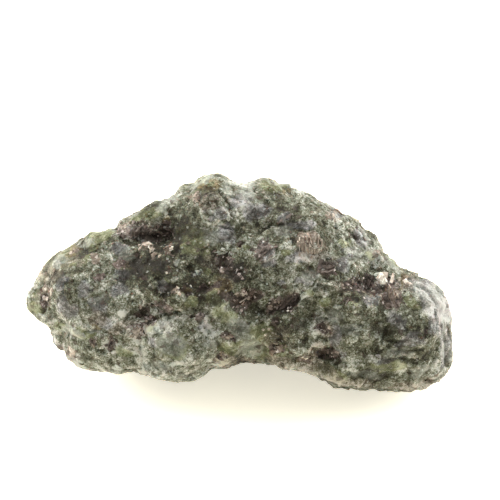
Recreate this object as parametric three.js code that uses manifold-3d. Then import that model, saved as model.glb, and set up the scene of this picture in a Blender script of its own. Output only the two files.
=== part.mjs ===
// A hand-sized lump of massive delessite, a dark green iron-rich chlorite, with mica and pale chlorite plates
// grown through it. It is one piece of stone and lies on the flat break under it.
// Millimetres. +X runs along the stone, +Y away from the viewer, +Z up; the origin is on the resting surface,
// below the middle of the stone.
import * as THREE from "three";
import { ImprovedNoise } from "three/addons/math/ImprovedNoise.js";
import { TessellateModifier } from "three/addons/modifiers/TessellateModifier.js";
import { mergeVertices } from "three/addons/utils/BufferGeometryUtils.js";
import Module from "manifold-3d";

// The broad face looks up at this angle above the horizon. Face places are u along the stone, v up the face
// and w out of it, measured from a point inside the stone.
const FACE_LOOKS_UP_DEG = 40;
const FRONT_DEPTH = 10.2;
const BACK_DEPTH = 15.5;
const END_ROUNDNESS = 2.35; // 2 is an ellipse, more is squarer
const REST_DEPTH = 13.1; // the inside point's height above the resting surface

// Outline of the broad face, clockwise from the left tip: u, v. Away from the rim it eases into a plainer
// one, so that its notches don't run through the whole depth of the stone.
const OUTLINE = [
  [-27.5, -1.9],
  [-26.9, -0.5],
  [-26.1, 1.6],
  [-24.9, 3.6],
  [-23.2, 5.0],
  [-21.2, 6.1],
  [-19.4, 7.5],
  [-17.6, 7.8],
  [-16.4, 7.3],
  [-15.8, 8.5],
  [-14.9, 9.3],
  [-12.9, 10.5],
  [-10.8, 11.5],
  [-8.6, 12.0],
  [-7.6, 13.3],
  [-5.4, 14.2],
  [-3.1, 14.9],
  [-1.8, 14.7],
  [-1.0, 13.9],
  [0.1, 13.8],
  [1.3, 13.8],
  [2.8, 14.3],
  [4.9, 14.1],
  [7.7, 12.8],
  [10.8, 11.4],
  [13.6, 9.8],
  [15.5, 8.5],
  [17.0, 7.1],
  [18.6, 4.9],
  [19.9, 3.5],
  [21.2, 2.6],
  [23.2, 1.7],
  [25.3, 0.8],
  [26.5, -0.8],
  [27.0, -2.6],
  [27.5, -5.7],
  [27.5, -8.4],
  [27.0, -10.1],
  [25.6, -11.4],
  [23.8, -12.4],
  [21.2, -12.9],
  [18.1, -12.8],
  [14.2, -12.6],
  [12.1, -12.1],
  [10.1, -11.4],
  [8.3, -10.5],
  [6.5, -9.9],
  [4.6, -9.8],
  [2.8, -9.3],
  [0.8, -9.3],
  [-1.3, -9.5],
  [-3.4, -10.2],
  [-5.2, -11.2],
  [-6.7, -11.9],
  [-8.8, -11.9],
  [-10.6, -11.5],
  [-12.0, -10.8],
  [-14.2, -10.6],
  [-17.0, -10.5],
  [-19.4, -10.1],
  [-20.9, -9.3],
  [-22.5, -8.4],
  [-23.6, -6.8],
  [-24.5, -5.4],
  [-25.3, -4.1],
  [-26.1, -3.4],
  [-27.2, -2.7],
];

const PLAIN_RIM = { smoothedOverDeg: 18, from: 0.08, to: 0.45 }; // from and to: rise of the way off the face

// Flat breaks that cut across the body: outward direction u, v, w, and how deep each bites
const BREAKS = [
  { facing: [-0.25, 0.45, 0.86], bite: 1.0 },
  { facing: [0.36, 0.5, 0.79], bite: 1.0 },
  { facing: [0.05, -0.62, 0.78], bite: 1.0 },
  { facing: [-0.55, -0.45, 0.7], bite: 1.1 },
  { facing: [0.66, -0.12, 0.74], bite: 1.2 },
  { facing: [-0.74, 0.2, 0.64], bite: 1.1 },
  { facing: [0.1, 0.6, -0.79], bite: 2.2 },
  { facing: [-0.45, 0.15, -0.88], bite: 2.0 },
  { facing: [0.55, 0.25, -0.8], bite: 2.1 },
  { facing: [0.2, -0.35, -0.92], bite: 1.6 },
  { facing: [-0.75, -0.25, -0.61], bite: 1.7 },
  { facing: [0.85, -0.2, -0.49], bite: 1.8 },
];
const BREAK_BLEND = 0.8;

// Lobes of the aggregate that swell out of the body: centre u, v, w, then half sizes along u, v, w
const LOBES = [
  { at: [-18.4, -1.4, 1.8], half: [6.9, 6.2, 6.6] }, // left lobe
  { at: [-18.8, 5.0, 0.8], half: [2.6, 1.5, 3.0] }, // smooth nodule on the left shoulder
  { at: [-25.4, -1.4, 0.0], half: [2.5, 1.7, 2.4] }, // left tip
  { at: [-3.4, 8.8, 2.2], half: [5.2, 4.9, 6.6] }, // left of the top saddle
  { at: [8.0, 6.6, 1.8], half: [7.8, 5.0, 6.8] }, // right of the top saddle
  { at: [-7.8, -7.0, 5.0], half: [5.0, 4.5, 5.3] }, // knob at the foot of the face
  { at: [-0.2, -4.0, 4.3], half: [4.1, 4.3, 4.9] }, // beside the knob
  { at: [20.6, -4.6, 1.8], half: [6.2, 6.2, 6.8] }, // blunt right end
  { at: [23.4, -8.3, 0.2], half: [4.1, 4.2, 5.6] }, // its lower corner
  { at: [17.6, -7.6, 1.4], half: [5.2, 3.8, 5.4] }, // right foot
  { at: [-18.4, -6.3, 0.6], half: [6.0, 3.3, 5.6] }, // left foot
  { at: [11.6, 1.0, 4.4], half: [5.0, 3.6, 4.8] }, // below the right shoulder
  { at: [-10.6, 0.8, 3.8], half: [4.2, 3.8, 4.9] }, // right of the left lobe
  { at: [6.0, -4.4, 4.2], half: [3.6, 3.1, 4.6] }, // over the arch
  { at: [-14.0, 2.4, -8.4], half: [8.0, 5.8, 5.4] }, // back, left
  { at: [1.0, -1.6, -10.4], half: [7.6, 7.2, 5.4] }, // back, middle
  { at: [14.6, -4.4, -8.2], half: [8.8, 6.0, 5.8] }, // back, right
  { at: [6.0, 7.6, -6.6], half: [6.4, 4.4, 5.0] }, // back of the right shoulder
];
const LOBE_BLEND = 1.8;

// Pits and grooves in the broad face: centre u, v, half length, half width, turn of the length above +u in
// degrees, and depth
const PITS = [
  { at: [-12.2, 7.2], half: [3.6, 1.15], turn: 6, depth: 1.7 }, // dark cleft under the top left edge
  { at: [-9.6, 7.4], half: [1.6, 1.3], turn: -40, depth: 0.9 },
  { at: [-12.1, -2.8], half: [1.5, 1.0], turn: 35, depth: 1.1 },
  { at: [-15.6, -6.4], half: [1.3, 0.7], turn: 10, depth: 0.8 },
  { at: [-4.5, 0.1], half: [1.0, 0.9], turn: 0, depth: 1.1 },
  { at: [-2.0, 2.7], half: [2.0, 1.2], turn: -15, depth: 0.8 },
  { at: [1.4, -2.0], half: [2.2, 0.7], turn: -55, depth: 1.1 },
  { at: [5.8, -1.4], half: [3.0, 0.9], turn: 25, depth: 1.3 },
  { at: [4.0, -5.6], half: [2.6, 1.1], turn: -50, depth: 1.0 },
  { at: [11.4, -8.5], half: [1.6, 0.9], turn: -8, depth: 1.3 },
  { at: [16.2, 0.8], half: [2.0, 1.3], turn: -10, depth: 1.4 },
  { at: [14.6, 6.7], half: [1.6, 0.6], turn: -50, depth: 1.0 },
  { at: [9.2, -3.0], half: [2.2, 1.2], turn: 10, depth: 0.6 },
  { at: [19.0, -5.2], half: [1.0, 0.8], turn: 40, depth: 0.8 },
  { at: [-0.9, 10.0], half: [0.55, 2.0], turn: 12, depth: 0.8 }, // crack beside the top block
  { at: [-5.9, 3.3], half: [2.4, 0.8], turn: -20, depth: 0.6 },
  { at: [-12.4, -6.2], half: [0.7, 2.4], turn: -12, depth: 0.8 }, // left of the knob
  { at: [-2.9, -7.9], half: [0.6, 1.9], turn: -24, depth: 0.7 }, // right of the knob
  { at: [-7.6, -2.4], half: [3.2, 0.7], turn: 8, depth: 0.6 }, // over the knob
];

// Ledges on the broad face: the stone is stepped back under each line, from one end to the other
const LEDGES = [
  { from: [-24.4, -3.6], to: [-18.8, -6.3], under: 2.4, depth: 0.9 }, // lip of the left lobe
  { from: [17.6, -11.0], to: [26.0, -9.4], under: 1.8, depth: 0.5 },
  { from: [-2.2, -6.9], to: [3.6, -7.6], under: 1.8, depth: 0.8 }, // over the arch
  { from: [3.0, 8.4], to: [10.4, 7.4], under: 1.6, depth: 0.5 },
  { from: [15.2, 4.4], to: [20.6, 1.7], under: 1.4, depth: 0.5 },
];

// Blocks and plates that stand out of the broad face: centre u, v, half length, half width, turn in degrees
// and how far each stands out
const PLATES = [
  { at: [-3.3, 10.4], half: [1.9, 2.0], turn: 8, proud: 0.12 }, // lavender block under the top edge
  { at: [18.3, 1.5], half: [0.6, 0.9], turn: 12, proud: 0.4 }, // pale flake over the right pit
  { at: [19.6, -0.9], half: [1.0, 1.5], turn: 20, proud: 0.3 },
  { at: [21.3, 1.2], half: [1.2, 0.8], turn: -35, proud: 0.2 },
  { at: [9.3, 6.3], half: [1.7, 1.3], turn: 15, proud: 0.3 }, // striped tan plate
  { at: [11.5, 2.6], half: [1.6, 0.9], turn: 18, proud: 0.3 }, // smooth brown plate
  { at: [3.4, 4.9], half: [1.4, 1.1], turn: -25, proud: 0.25 },
  { at: [5.9, 5.2], half: [1.0, 0.7], turn: 40, proud: 0.3 },
  { at: [13.4, 5.8], half: [0.9, 0.8], turn: 50, proud: 0.3 },
  { at: [5.6, 9.4], half: [1.3, 0.9], turn: 30, proud: 0.2 },
  { at: [-5.9, 12.2], half: [0.9, 0.7], turn: 20, proud: 0.2 },
  { at: [-11.9, 5.4], half: [1.2, 0.8], turn: -30, proud: 0.35 }, // flakes below the cleft
  { at: [-9.0, 5.3], half: [0.7, 0.6], turn: 40, proud: 0.3 },
  { at: [-15.3, 7.6], half: [0.8, 1.0], turn: 50, proud: 0.25 },
  { at: [-18.6, 4.0], half: [0.8, 0.8], turn: 30, proud: 0.2 },
  { at: [-24.4, -0.6], half: [0.9, 0.8], turn: 5, proud: 0.25 },
  { at: [-8.0, -0.4], half: [0.8, 0.6], turn: 25, proud: 0.25 },
  { at: [-0.3, -0.8], half: [1.1, 0.8], turn: 35, proud: 0.35 },
  { at: [-13.2, -5.3], half: [1.2, 0.8], turn: 35, proud: 0.35 },
  { at: [-5.2, -3.6], half: [1.2, 0.7], turn: 28, proud: 0.25 },
  { at: [4.3, -7.8], half: [1.0, 0.7], turn: -30, proud: 0.25 },
  { at: [6.9, -0.9], half: [1.2, 0.8], turn: 45, proud: 0.3 },
  { at: [-2.7, 3.2], half: [0.7, 1.1], turn: 10, proud: 0.3 },
  { at: [11.2, -1.6], half: [1.2, 0.9], turn: 25, proud: 0.25 },
  { at: [14.4, -1.7], half: [1.0, 0.7], turn: 5, proud: 0.25 },
  { at: [16.1, -4.6], half: [0.8, 0.7], turn: 15, proud: 0.2 },
  { at: [11.0, -7.9], half: [1.1, 0.7], turn: -5, proud: 0.25 },
];
const PLATE_THICKNESS = 1.6;
const PLATE_SIDES = { least: 5, most: 7 };
const PLATE_LEAN = 0.2; // tangent of the most a plate leans off the stone around it
const HIDDEN_PLATES = { count: 15, leastHalf: 0.8, mostHalf: 1.9, proud: 0.3 }; // over the back, ends and top

// The stone breaks into small blocks with flat faces, each a little proud or shy of the next and tipped its
// own way. Their edges waver.
const BLOCKS = { count: 420, offset: 0.36, tip: 0.26, waver: 0.9, waverSize: 2.6 };

// Finer relief, moved along the surface's own normal: size of the lumps, and height
const RELIEF = [
  { size: 6.5, height: 0.5 },
  { size: 3.1, height: 0.3 },
];

// Hollows in the underside, which leave it resting on a few lumps: the way each lies from the middle, its
// radius and its depth
const UNDER_HOLLOWS = [
  { way: [-0.08, -0.62, -0.78], radius: 4.4, depth: 1.9 },
  { way: [-0.3, -0.88, -0.38], radius: 3.6, depth: 1.6 },
  { way: [0.3, -0.86, -0.42], radius: 3.6, depth: 1.7 },
  { way: [0.42, -0.5, -0.76], radius: 3.4, depth: 1.4 },
  { way: [-0.5, -0.55, -0.67], radius: 3.0, depth: 1.3 },
];

// Pits scattered over everything but the broad face
const HIDDEN_PITS = { count: 26, leastRadius: 1.0, mostRadius: 2.6, leastDepth: 0.5, mostDepth: 1.4 };

const LONGEST_EDGE = 1.96; // of the stone's facets

// The stone's surface is first found along rays that leave a line bent like the stone
const MIDDLE_LINE = { half: 17, height: 1.2, droop: 5.4 };
const STRETCH = new THREE.Vector3(27.5, 13.0, 12.5); // half sizes of the ball that the rays pass through
const SEED = 71;

const lean = THREE.MathUtils.degToRad(FACE_LOOKS_UP_DEG);
const U = new THREE.Vector3(1, 0, 0);
const V = new THREE.Vector3(0, Math.sin(lean), Math.cos(lean));
const W = new THREE.Vector3(0, -Math.cos(lean), Math.sin(lean));
const faceFrame = new THREE.Matrix4().makeBasis(U, V, W);
const toFace = faceFrame.clone().invert();

// Repeatable random numbers from 0 to 1
function randomFrom(seed) {
  let state = seed;
  return () => {
    state = (state + 0x6d2b79f5) | 0;
    let mixed = Math.imul(state ^ (state >>> 15), 1 | state);
    mixed = (mixed + Math.imul(mixed ^ (mixed >>> 7), 61 | mixed)) ^ mixed;
    return ((mixed ^ (mixed >>> 14)) >>> 0) / 4294967296;
  };
}

function between(random, least, most) {
  return least + (most - least) * random();
}

function randomDirection(random) {
  const height = between(random, -1, 1);
  const angle = between(random, 0, 2 * Math.PI);
  const around = Math.sqrt(1 - height * height);
  return new THREE.Vector3(around * Math.cos(angle), around * Math.sin(angle), height);
}

// The outline's distance from the inside point, every degree round
function outlineRadii() {
  const points = OUTLINE.map(([u, v]) => new THREE.Vector3(u, v, 0));
  const curve = new THREE.CatmullRomCurve3(points, true, "centripetal");
  const radii = new Array(360).fill(0);
  curve.getSpacedPoints(4000).forEach((p) => {
    const degree = Math.round(THREE.MathUtils.radToDeg(Math.atan2(p.y, p.x)) + 360) % 360;
    radii[degree] = Math.max(radii[degree], Math.hypot(p.x, p.y));
  });
  return radii;
}

function smoothedRadii(radii, overDeg) {
  return radii.map((_, degree) => {
    let sum = 0;
    for (let step = -overDeg; step <= overDeg; step++) sum += radii[(degree + step + 360) % 360];
    return sum / (2 * overDeg + 1);
  });
}

const rimRadii = outlineRadii();
const plainRadii = smoothedRadii(rimRadii, PLAIN_RIM.smoothedOverDeg);

function radiusAt(radii, angle) {
  const degrees = THREE.MathUtils.radToDeg(angle) + 360;
  const low = Math.floor(degrees);
  return THREE.MathUtils.lerp(radii[low % 360], radii[(low + 1) % 360], degrees - low);
}

// How far the plain rounded body reaches from the inside point, along a unit direction in the face's frame
function bodyReach(d) {
  const angle = Math.atan2(d.y, d.x);
  const plain = THREE.MathUtils.smoothstep(Math.abs(d.z), PLAIN_RIM.from, PLAIN_RIM.to);
  const rim = THREE.MathUtils.lerp(radiusAt(rimRadii, angle), radiusAt(plainRadii, angle), plain);
  const across = Math.hypot(d.x, d.y) / rim;
  const through = Math.abs(d.z) / (d.z > 0 ? FRONT_DEPTH : BACK_DEPTH);
  return (across ** END_ROUNDNESS + through ** END_ROUNDNESS) ** (-1 / END_ROUNDNESS);
}

function softMost(a, b, blend) {
  const near = Math.max(blend - Math.abs(a - b), 0) / blend;
  return Math.max(a, b) + (near * near * blend) / 4;
}

function softLeast(a, b, blend) {
  return -softMost(-a, -b, blend);
}

// Each break's plane lies its bite inside the furthest point of the body that way
function breakPlanes() {
  const ball = new THREE.IcosahedronGeometry(1, 12).getAttribute("position");
  const tips = Array.from({ length: ball.count }, (_, i) => {
    const way = new THREE.Vector3().fromBufferAttribute(ball, i).multiply(STRETCH).normalize();
    return way.clone().multiplyScalar(bodyReach(way));
  });
  return BREAKS.map(({ facing, bite }) => {
    const normal = new THREE.Vector3(...facing).normalize();
    const furthest = Math.max(...tips.map((tip) => tip.dot(normal)));
    return { normal, distance: furthest - bite };
  });
}

// Nearness to a lobe in millimetres: less than 0 inside it
function lobeGap(point, { at, half }) {
  const away = [point.x - at[0], point.y - at[1], point.z - at[2]];
  const share = Math.hypot(...away.map((run, i) => run / half[i]));
  const slope = Math.hypot(...away.map((run, i) => run / half[i] ** 2));
  return share > 0 ? (share * (share - 1)) / slope : -Math.min(...half);
}

const planes = breakPlanes();

// Nearness to the stone: the body, cut by the breaks, with the lobes joined on
function stoneGap(point) {
  const length = point.length();
  const body = length - bodyReach(point.clone().divideScalar(length));
  const broken = planes.reduce((gap, { normal, distance }) => {
    return softMost(gap, point.dot(normal) - distance, BREAK_BLEND);
  }, body);
  return LOBES.reduce((gap, lobe) => softLeast(gap, lobeGap(point, lobe), LOBE_BLEND), broken);
}

// A place on the ray from the middle line through a place on the unit ball; share 0 is on the line and
// share 1 near the stone's surface
function onRay(ball, share) {
  const { half, height, droop } = MIDDLE_LINE;
  const line = new THREE.Vector3(half * ball.x, height - droop * ball.x ** 2, 0);
  const reach = STRETCH.clone().setX(STRETCH.x - half).multiply(ball);
  return line.addScaledVector(reach, share);
}

function onStone(ball) {
  const step = 0.04;
  let inside = 2;
  while (stoneGap(onRay(ball, inside)) > 0) inside -= step;
  let outside = inside + step;
  for (let i = 0; i < 8; i++) {
    const middle = (inside + outside) / 2;
    if (stoneGap(onRay(ball, middle)) > 0) outside = middle;
    else inside = middle;
  }
  return onRay(ball, inside);
}

// The way out of the stone at a place near its surface
function wayOut(point) {
  const probe = 0.05;
  const rises = ["x", "y", "z"].map((axis) => {
    const ahead = point.clone();
    const behind = point.clone();
    ahead[axis] += probe;
    behind[axis] -= probe;
    return (stoneGap(ahead) - stoneGap(behind)) / (2 * probe);
  });
  return new THREE.Vector3(...rises);
}

// Walks a place near the surface on to it
function slideOnToStone(point) {
  const place = point.clone();
  for (let i = 0; i < 4; i++) {
    const rise = wayOut(place);
    place.addScaledVector(rise, -stoneGap(place) / Math.max(rise.lengthSq(), 0.2));
  }
  return place;
}

// A dent that is deepest in its middle and ends in a fairly steep rim
function pitDepth(u, v, pit) {
  const turn = THREE.MathUtils.degToRad(pit.turn);
  const du = u - pit.at[0];
  const dv = v - pit.at[1];
  const along = (du * Math.cos(turn) + dv * Math.sin(turn)) / pit.half[0];
  const across = (dv * Math.cos(turn) - du * Math.sin(turn)) / pit.half[1];
  return pit.depth * Math.exp(-((along ** 2 + across ** 2) ** 1.5));
}

// A step: nothing above the line, full depth just under it, and back to nothing further down
function ledgeDepth(u, v, ledge) {
  const run = ledge.to[0] - ledge.from[0];
  const share = (u - ledge.from[0]) / run;
  const below = THREE.MathUtils.lerp(ledge.from[1], ledge.to[1], share) - v;
  const inEnds = THREE.MathUtils.smoothstep(Math.min(share, 1 - share), -0.12, 0.12);
  const step = THREE.MathUtils.smoothstep(below, -0.4, 0.4);
  const fade = Math.exp(-((Math.max(below, 0) / ledge.under) ** 2));
  return ledge.depth * inEnds * step * fade;
}

function faceDents(place) {
  const dents = [
    ...PITS.map((pit) => pitDepth(place.x, place.y, pit)),
    ...LEDGES.map((ledge) => ledgeDepth(place.x, place.y, ledge)),
  ];
  return dents.reduce((sum, dent) => sum + dent, 0);
}

function hiddenPits(random) {
  const pits = UNDER_HOLLOWS.map(({ way, radius, depth }) => {
    return { at: onStone(new THREE.Vector3(...way).normalize()), radius, depth };
  });
  while (pits.length < UNDER_HOLLOWS.length + HIDDEN_PITS.count) {
    const d = randomDirection(random);
    if (d.z > 0.25) continue;
    pits.push({
      at: onStone(d),
      radius: between(random, HIDDEN_PITS.leastRadius, HIDDEN_PITS.mostRadius),
      depth: between(random, HIDDEN_PITS.leastDepth, HIDDEN_PITS.mostDepth),
    });
  }
  return pits;
}

function reliefHeight(place, noise) {
  const lumps = RELIEF.map(({ size, height }, i) => {
    const shift = 11.3 * (i + 1);
    return height * 2 * noise.noise(place.x / size + shift, place.y / size - shift, place.z / size + shift);
  });
  return lumps.reduce((sum, lump) => sum + lump, 0);
}

function surfaceBlocks(random) {
  const blocks = [];
  while (blocks.length < BLOCKS.count) {
    blocks.push({
      at: onStone(randomDirection(random)),
      offset: between(random, -BLOCKS.offset, BLOCKS.offset),
      tip: randomDirection(random).multiplyScalar(between(random, 0, BLOCKS.tip)),
    });
  }
  return blocks;
}

// Height of the block a place belongs to, with the blocks' edges made to wander
function blockHeight(place, blocks, noise) {
  const { waver, waverSize } = BLOCKS;
  const asked = new THREE.Vector3(
    place.x + waver * noise.noise(place.x / waverSize, place.y / waverSize, place.z / waverSize),
    place.y + waver * noise.noise(place.y / waverSize, place.z / waverSize, 7.7 + place.x / waverSize),
    place.z + waver * noise.noise(place.z / waverSize, 3.1 + place.x / waverSize, place.y / waverSize),
  );
  const nearest = blocks.reduce(
    (best, block) => {
      const away = block.at.distanceToSquared(asked);
      return away < best.away ? { away, block } : best;
    },
    { away: Infinity, block: blocks[0] },
  ).block;
  return nearest.offset + nearest.tip.dot(place.clone().sub(nearest.at));
}

function moveCorners(mesh, moved) {
  const place = mesh.getAttribute("position");
  for (let i = 0; i < place.count; i++) {
    place.setXYZ(i, ...moved(new THREE.Vector3().fromBufferAttribute(place, i), i).toArray());
  }
  return mesh;
}

// The stone's surface as one closed mesh of even facets, still centred on the inside point
function stoneSurface(random) {
  const ball = new THREE.IcosahedronGeometry(1, 7).rotateX(0.4).rotateY(0.7).rotateZ(0.3);
  ball.deleteAttribute("normal");
  ball.deleteAttribute("uv");
  const coarse = moveCorners(ball, onStone);
  const even = mergeVertices(new TessellateModifier(LONGEST_EDGE, 14).modify(coarse), 1e-3);
  const surface = moveCorners(even, slideOnToStone);
  surface.computeVertexNormals();

  const noise = new ImprovedNoise();
  const pits = hiddenPits(random);
  const blocks = surfaceBlocks(random);
  const normal = surface.getAttribute("normal");
  moveCorners(surface, (point, i) => {
    const out = new THREE.Vector3().fromBufferAttribute(normal, i);
    const onFace = THREE.MathUtils.smoothstep(out.z, 0.05, 0.4);
    const hidden = pits.map((pit) => pit.depth * Math.exp(-((point.distanceTo(pit.at) / pit.radius) ** 3)));
    const dent = onFace * faceDents(point) + hidden.reduce((sum, one) => sum + one, 0);
    const rimShare = 1 - 0.6 * Math.exp(-((point.z / 3) ** 2)); // keeps the outline of the face
    const height = reliefHeight(point, noise) + blockHeight(point, blocks, noise);
    return point.addScaledVector(out, height * rimShare - dent);
  });
  surface.deleteAttribute("normal");
  return surface.applyMatrix4(faceFrame);
}

// Presses whatever reaches below the resting surface flat on to it
function flattenFoot(surface) {
  const place = surface.getAttribute("position");
  for (let i = 0; i < place.count; i++) {
    place.setZ(i, Math.max(place.getZ(i), -REST_DEPTH));
  }
  return surface;
}

// An irregular flat plate, lying in its own xy plane with its top at z = 0
function plateGeometry(half, random) {
  const shape = new THREE.Shape();
  const sides = Math.round(between(random, PLATE_SIDES.least, PLATE_SIDES.most));
  for (let side = 0; side < sides; side++) {
    const angle = ((side + between(random, -0.3, 0.3)) / sides) * 2 * Math.PI;
    const reach = between(random, 0.8, 1.15);
    const corner = [reach * half[0] * Math.cos(angle), reach * half[1] * Math.sin(angle)];
    if (side === 0) shape.moveTo(...corner);
    else shape.lineTo(...corner);
  }
  const plate = new THREE.ExtrudeGeometry(shape, { depth: PLATE_THICKNESS, bevelEnabled: false });
  return plate.translate(0, 0, -PLATE_THICKNESS);
}

// Where a beam as wide as a plate meets the stone, and the way the stone faces there
function meetStone(stone, { from, towards }, half) {
  const side = new THREE.Vector3(0, 0, 1).cross(towards).normalize();
  const rise = towards.clone().cross(side);
  const offsets = [[0, 0], [0.7, 0], [-0.7, 0], [0, 0.7], [0, -0.7]];
  const hits = offsets.map(([across, up]) => {
    const start = from.clone().addScaledVector(side, across * half[0]).addScaledVector(rise, up * half[1]);
    return new THREE.Raycaster(start, towards).intersectObject(stone)[0];
  });
  const met = hits.filter((hit) => hit !== undefined);
  const facing = met.reduce((sum, { face }) => sum.add(face.normal), new THREE.Vector3()).normalize();
  return { point: met[0].point, facing };
}

// Puts a plate where its line of sight meets the stone, leaning a little off the surface
function seatPlate(half, stone, seat, random) {
  const { point, facing } = meetStone(stone, seat, half);
  const top = facing.clone().addScaledVector(randomDirection(random), PLATE_LEAN).normalize();
  const turned = new THREE.Quaternion().setFromAxisAngle(new THREE.Vector3(0, 0, 1), seat.turn);
  const tipped = new THREE.Quaternion().setFromUnitVectors(new THREE.Vector3(0, 0, 1), top);
  const centre = point.clone().addScaledVector(top, seat.proud);
  return plateGeometry(half, random).applyQuaternion(tipped.multiply(turned)).translate(...centre.toArray());
}

function facePlates(stone, random) {
  return PLATES.map(({ at, half, turn, proud }) => {
    const from = new THREE.Vector3(at[0], at[1], 60).applyMatrix4(faceFrame);
    const seat = { from, towards: W.clone().negate(), turn: THREE.MathUtils.degToRad(turn), proud };
    return seatPlate(half, stone, seat, random);
  });
}

function hiddenPlates(stone, random) {
  const plates = [];
  while (plates.length < HIDDEN_PLATES.count) {
    const d = randomDirection(random);
    const inFace = d.clone().applyMatrix4(toFace);
    if (inFace.z > 0.3 || d.z < -0.35) continue; // not on the broad face, nor near the foot
    const half = [0, 0].map(() => between(random, HIDDEN_PLATES.leastHalf, HIDDEN_PLATES.mostHalf));
    const from = d.clone().multiply(new THREE.Vector3(60, 40, 40));
    const towards = from.clone().negate().normalize();
    const seat = { from, towards, turn: between(random, 0, Math.PI), proud: HIDDEN_PLATES.proud };
    plates.push(seatPlate(half, stone, seat, random));
  }
  return plates;
}

// three.js geometry to manifold-3d solid and back, for the joins
const wasm = await Module();
wasm.setup();

function solidOf(geometry) {
  const bare = geometry.clone();
  ["normal", "uv"].filter((name) => bare.hasAttribute(name)).forEach((name) => bare.deleteAttribute(name));
  const merged = mergeVertices(bare, 1e-4);
  return new wasm.Manifold(
    new wasm.Mesh({
      numProp: 3,
      vertProperties: new Float32Array(merged.getAttribute("position").array),
      triVerts: new Uint32Array(merged.index.array),
    }),
  );
}

function geometryOf(solid) {
  const mesh = solid.getMesh();
  return new THREE.BufferGeometry()
    .setAttribute("position", new THREE.BufferAttribute(mesh.vertProperties, 3))
    .setIndex(new THREE.BufferAttribute(mesh.triVerts, 1));
}

// Moves the stone so that its foot is at z = 0 and its box is centred over the origin
function centreOverFoot(geometry) {
  geometry.computeBoundingBox();
  const { min, max } = geometry.boundingBox;
  geometry.translate(-(min.x + max.x) / 2, -(min.y + max.y) / 2, -min.z);
  return geometry;
}

function delessite() {
  const random = randomFrom(SEED);
  const surface = flattenFoot(stoneSurface(random));
  const bare = new THREE.Mesh(surface, new THREE.MeshBasicMaterial({ side: THREE.DoubleSide }));
  const plates = [...facePlates(bare, random), ...hiddenPlates(bare, random)];
  const joined = plates.reduce((stone, plate) => stone.add(solidOf(plate)), solidOf(surface));
  const geometry = centreOverFoot(geometryOf(joined));
  geometry.computeVertexNormals();
  const greenStone = new THREE.MeshStandardMaterial({ color: 0x737362, roughness: 0.72, metalness: 0 });
  const stone = new THREE.Mesh(geometry, greenStone);
  stone.name = "delessite_stone";
  return stone;
}

const part = new THREE.Group();
part.add(delessite());

export default part;
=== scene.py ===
import math
import random

import bmesh
import bpy
import numpy as np
from mathutils import Matrix, Vector, noise
from mathutils.bvhtree import BVHTree
from mathutils.kdtree import KDTree


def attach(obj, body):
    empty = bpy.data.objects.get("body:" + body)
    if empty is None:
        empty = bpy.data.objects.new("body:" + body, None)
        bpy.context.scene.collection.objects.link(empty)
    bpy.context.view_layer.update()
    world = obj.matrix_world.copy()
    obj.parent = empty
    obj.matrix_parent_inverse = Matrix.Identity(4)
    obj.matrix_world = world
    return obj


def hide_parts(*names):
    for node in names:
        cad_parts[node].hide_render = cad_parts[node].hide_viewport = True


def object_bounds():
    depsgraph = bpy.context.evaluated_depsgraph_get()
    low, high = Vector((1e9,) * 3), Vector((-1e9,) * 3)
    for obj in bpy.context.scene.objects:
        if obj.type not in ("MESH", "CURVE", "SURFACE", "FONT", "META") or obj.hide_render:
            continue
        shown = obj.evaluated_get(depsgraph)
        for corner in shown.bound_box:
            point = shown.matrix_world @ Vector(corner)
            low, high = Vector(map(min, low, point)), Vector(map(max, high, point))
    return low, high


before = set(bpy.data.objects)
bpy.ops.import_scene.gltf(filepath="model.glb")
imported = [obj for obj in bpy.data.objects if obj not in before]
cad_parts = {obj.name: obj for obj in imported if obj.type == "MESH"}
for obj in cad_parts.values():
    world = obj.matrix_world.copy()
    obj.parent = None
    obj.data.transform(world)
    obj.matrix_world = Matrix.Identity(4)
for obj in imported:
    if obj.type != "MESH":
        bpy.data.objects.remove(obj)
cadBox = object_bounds()
mm = 0.001

# camera: looks down on the broad face, which leans back at the same angle
cameraView = {
    "elevationDeg": 40.0,
    "aimAlong": 1.42 * mm,   # right of the origin
    "aimUp": 14.59 * mm,     # up the face from the origin
    "distance": 0.25,
    "seenWidth": 68.2 * mm,  # what the picture spans at the aim
    "pictureSide": 500,      # pixels
}

lean = math.radians(cameraView["elevationDeg"])
alongFace = Vector((1, 0, 0))
upFace = Vector((0, math.sin(lean), math.cos(lean)))
outOfFace = Vector((0, -math.cos(lean), math.sin(lean)))


def makeCamera():
    data = bpy.data.cameras.new("camera")
    data.sensor_width = 36
    data.lens = data.sensor_width * cameraView["distance"] / cameraView["seenWidth"]
    data.clip_start = 0.01
    camera = bpy.data.objects.new("camera", data)
    bpy.context.scene.collection.objects.link(camera)
    aim = alongFace * cameraView["aimAlong"] + upFace * cameraView["aimUp"]
    camera.location = aim + outOfFace * cameraView["distance"]
    camera.rotation_mode = "QUATERNION"
    camera.rotation_quaternion = (-outOfFace).to_track_quat("-Z", "Y")
    bpy.context.scene.camera = camera
    return camera


camera = makeCamera()
eye = np.array(camera.location)
pixel = cameraView["seenWidth"] / cameraView["pictureSide"]


# where points of the object come in the picture, in its pixels
def pictureOf(points):
    away = points - eye
    depth = -(away @ np.array(outOfFace))
    scale = cameraView["distance"] * cameraView["pictureSide"] / cameraView["seenWidth"] / depth
    middle = cameraView["pictureSide"] / 2
    across = middle + (away @ np.array(alongFace)) * scale
    down = middle - (away @ np.array(upFace)) * scale
    return across, down


# the ray from the eye through a pixel of the picture
def rayThrough(px):
    middle = cameraView["pictureSide"] / 2
    aim = alongFace * (cameraView["aimAlong"] + (px[0] - middle) * pixel)
    aim = aim + upFace * (cameraView["aimUp"] + (middle - px[1]) * pixel)
    return camera.location.copy(), (aim - camera.location).normalized()


print("camera ready")

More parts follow.
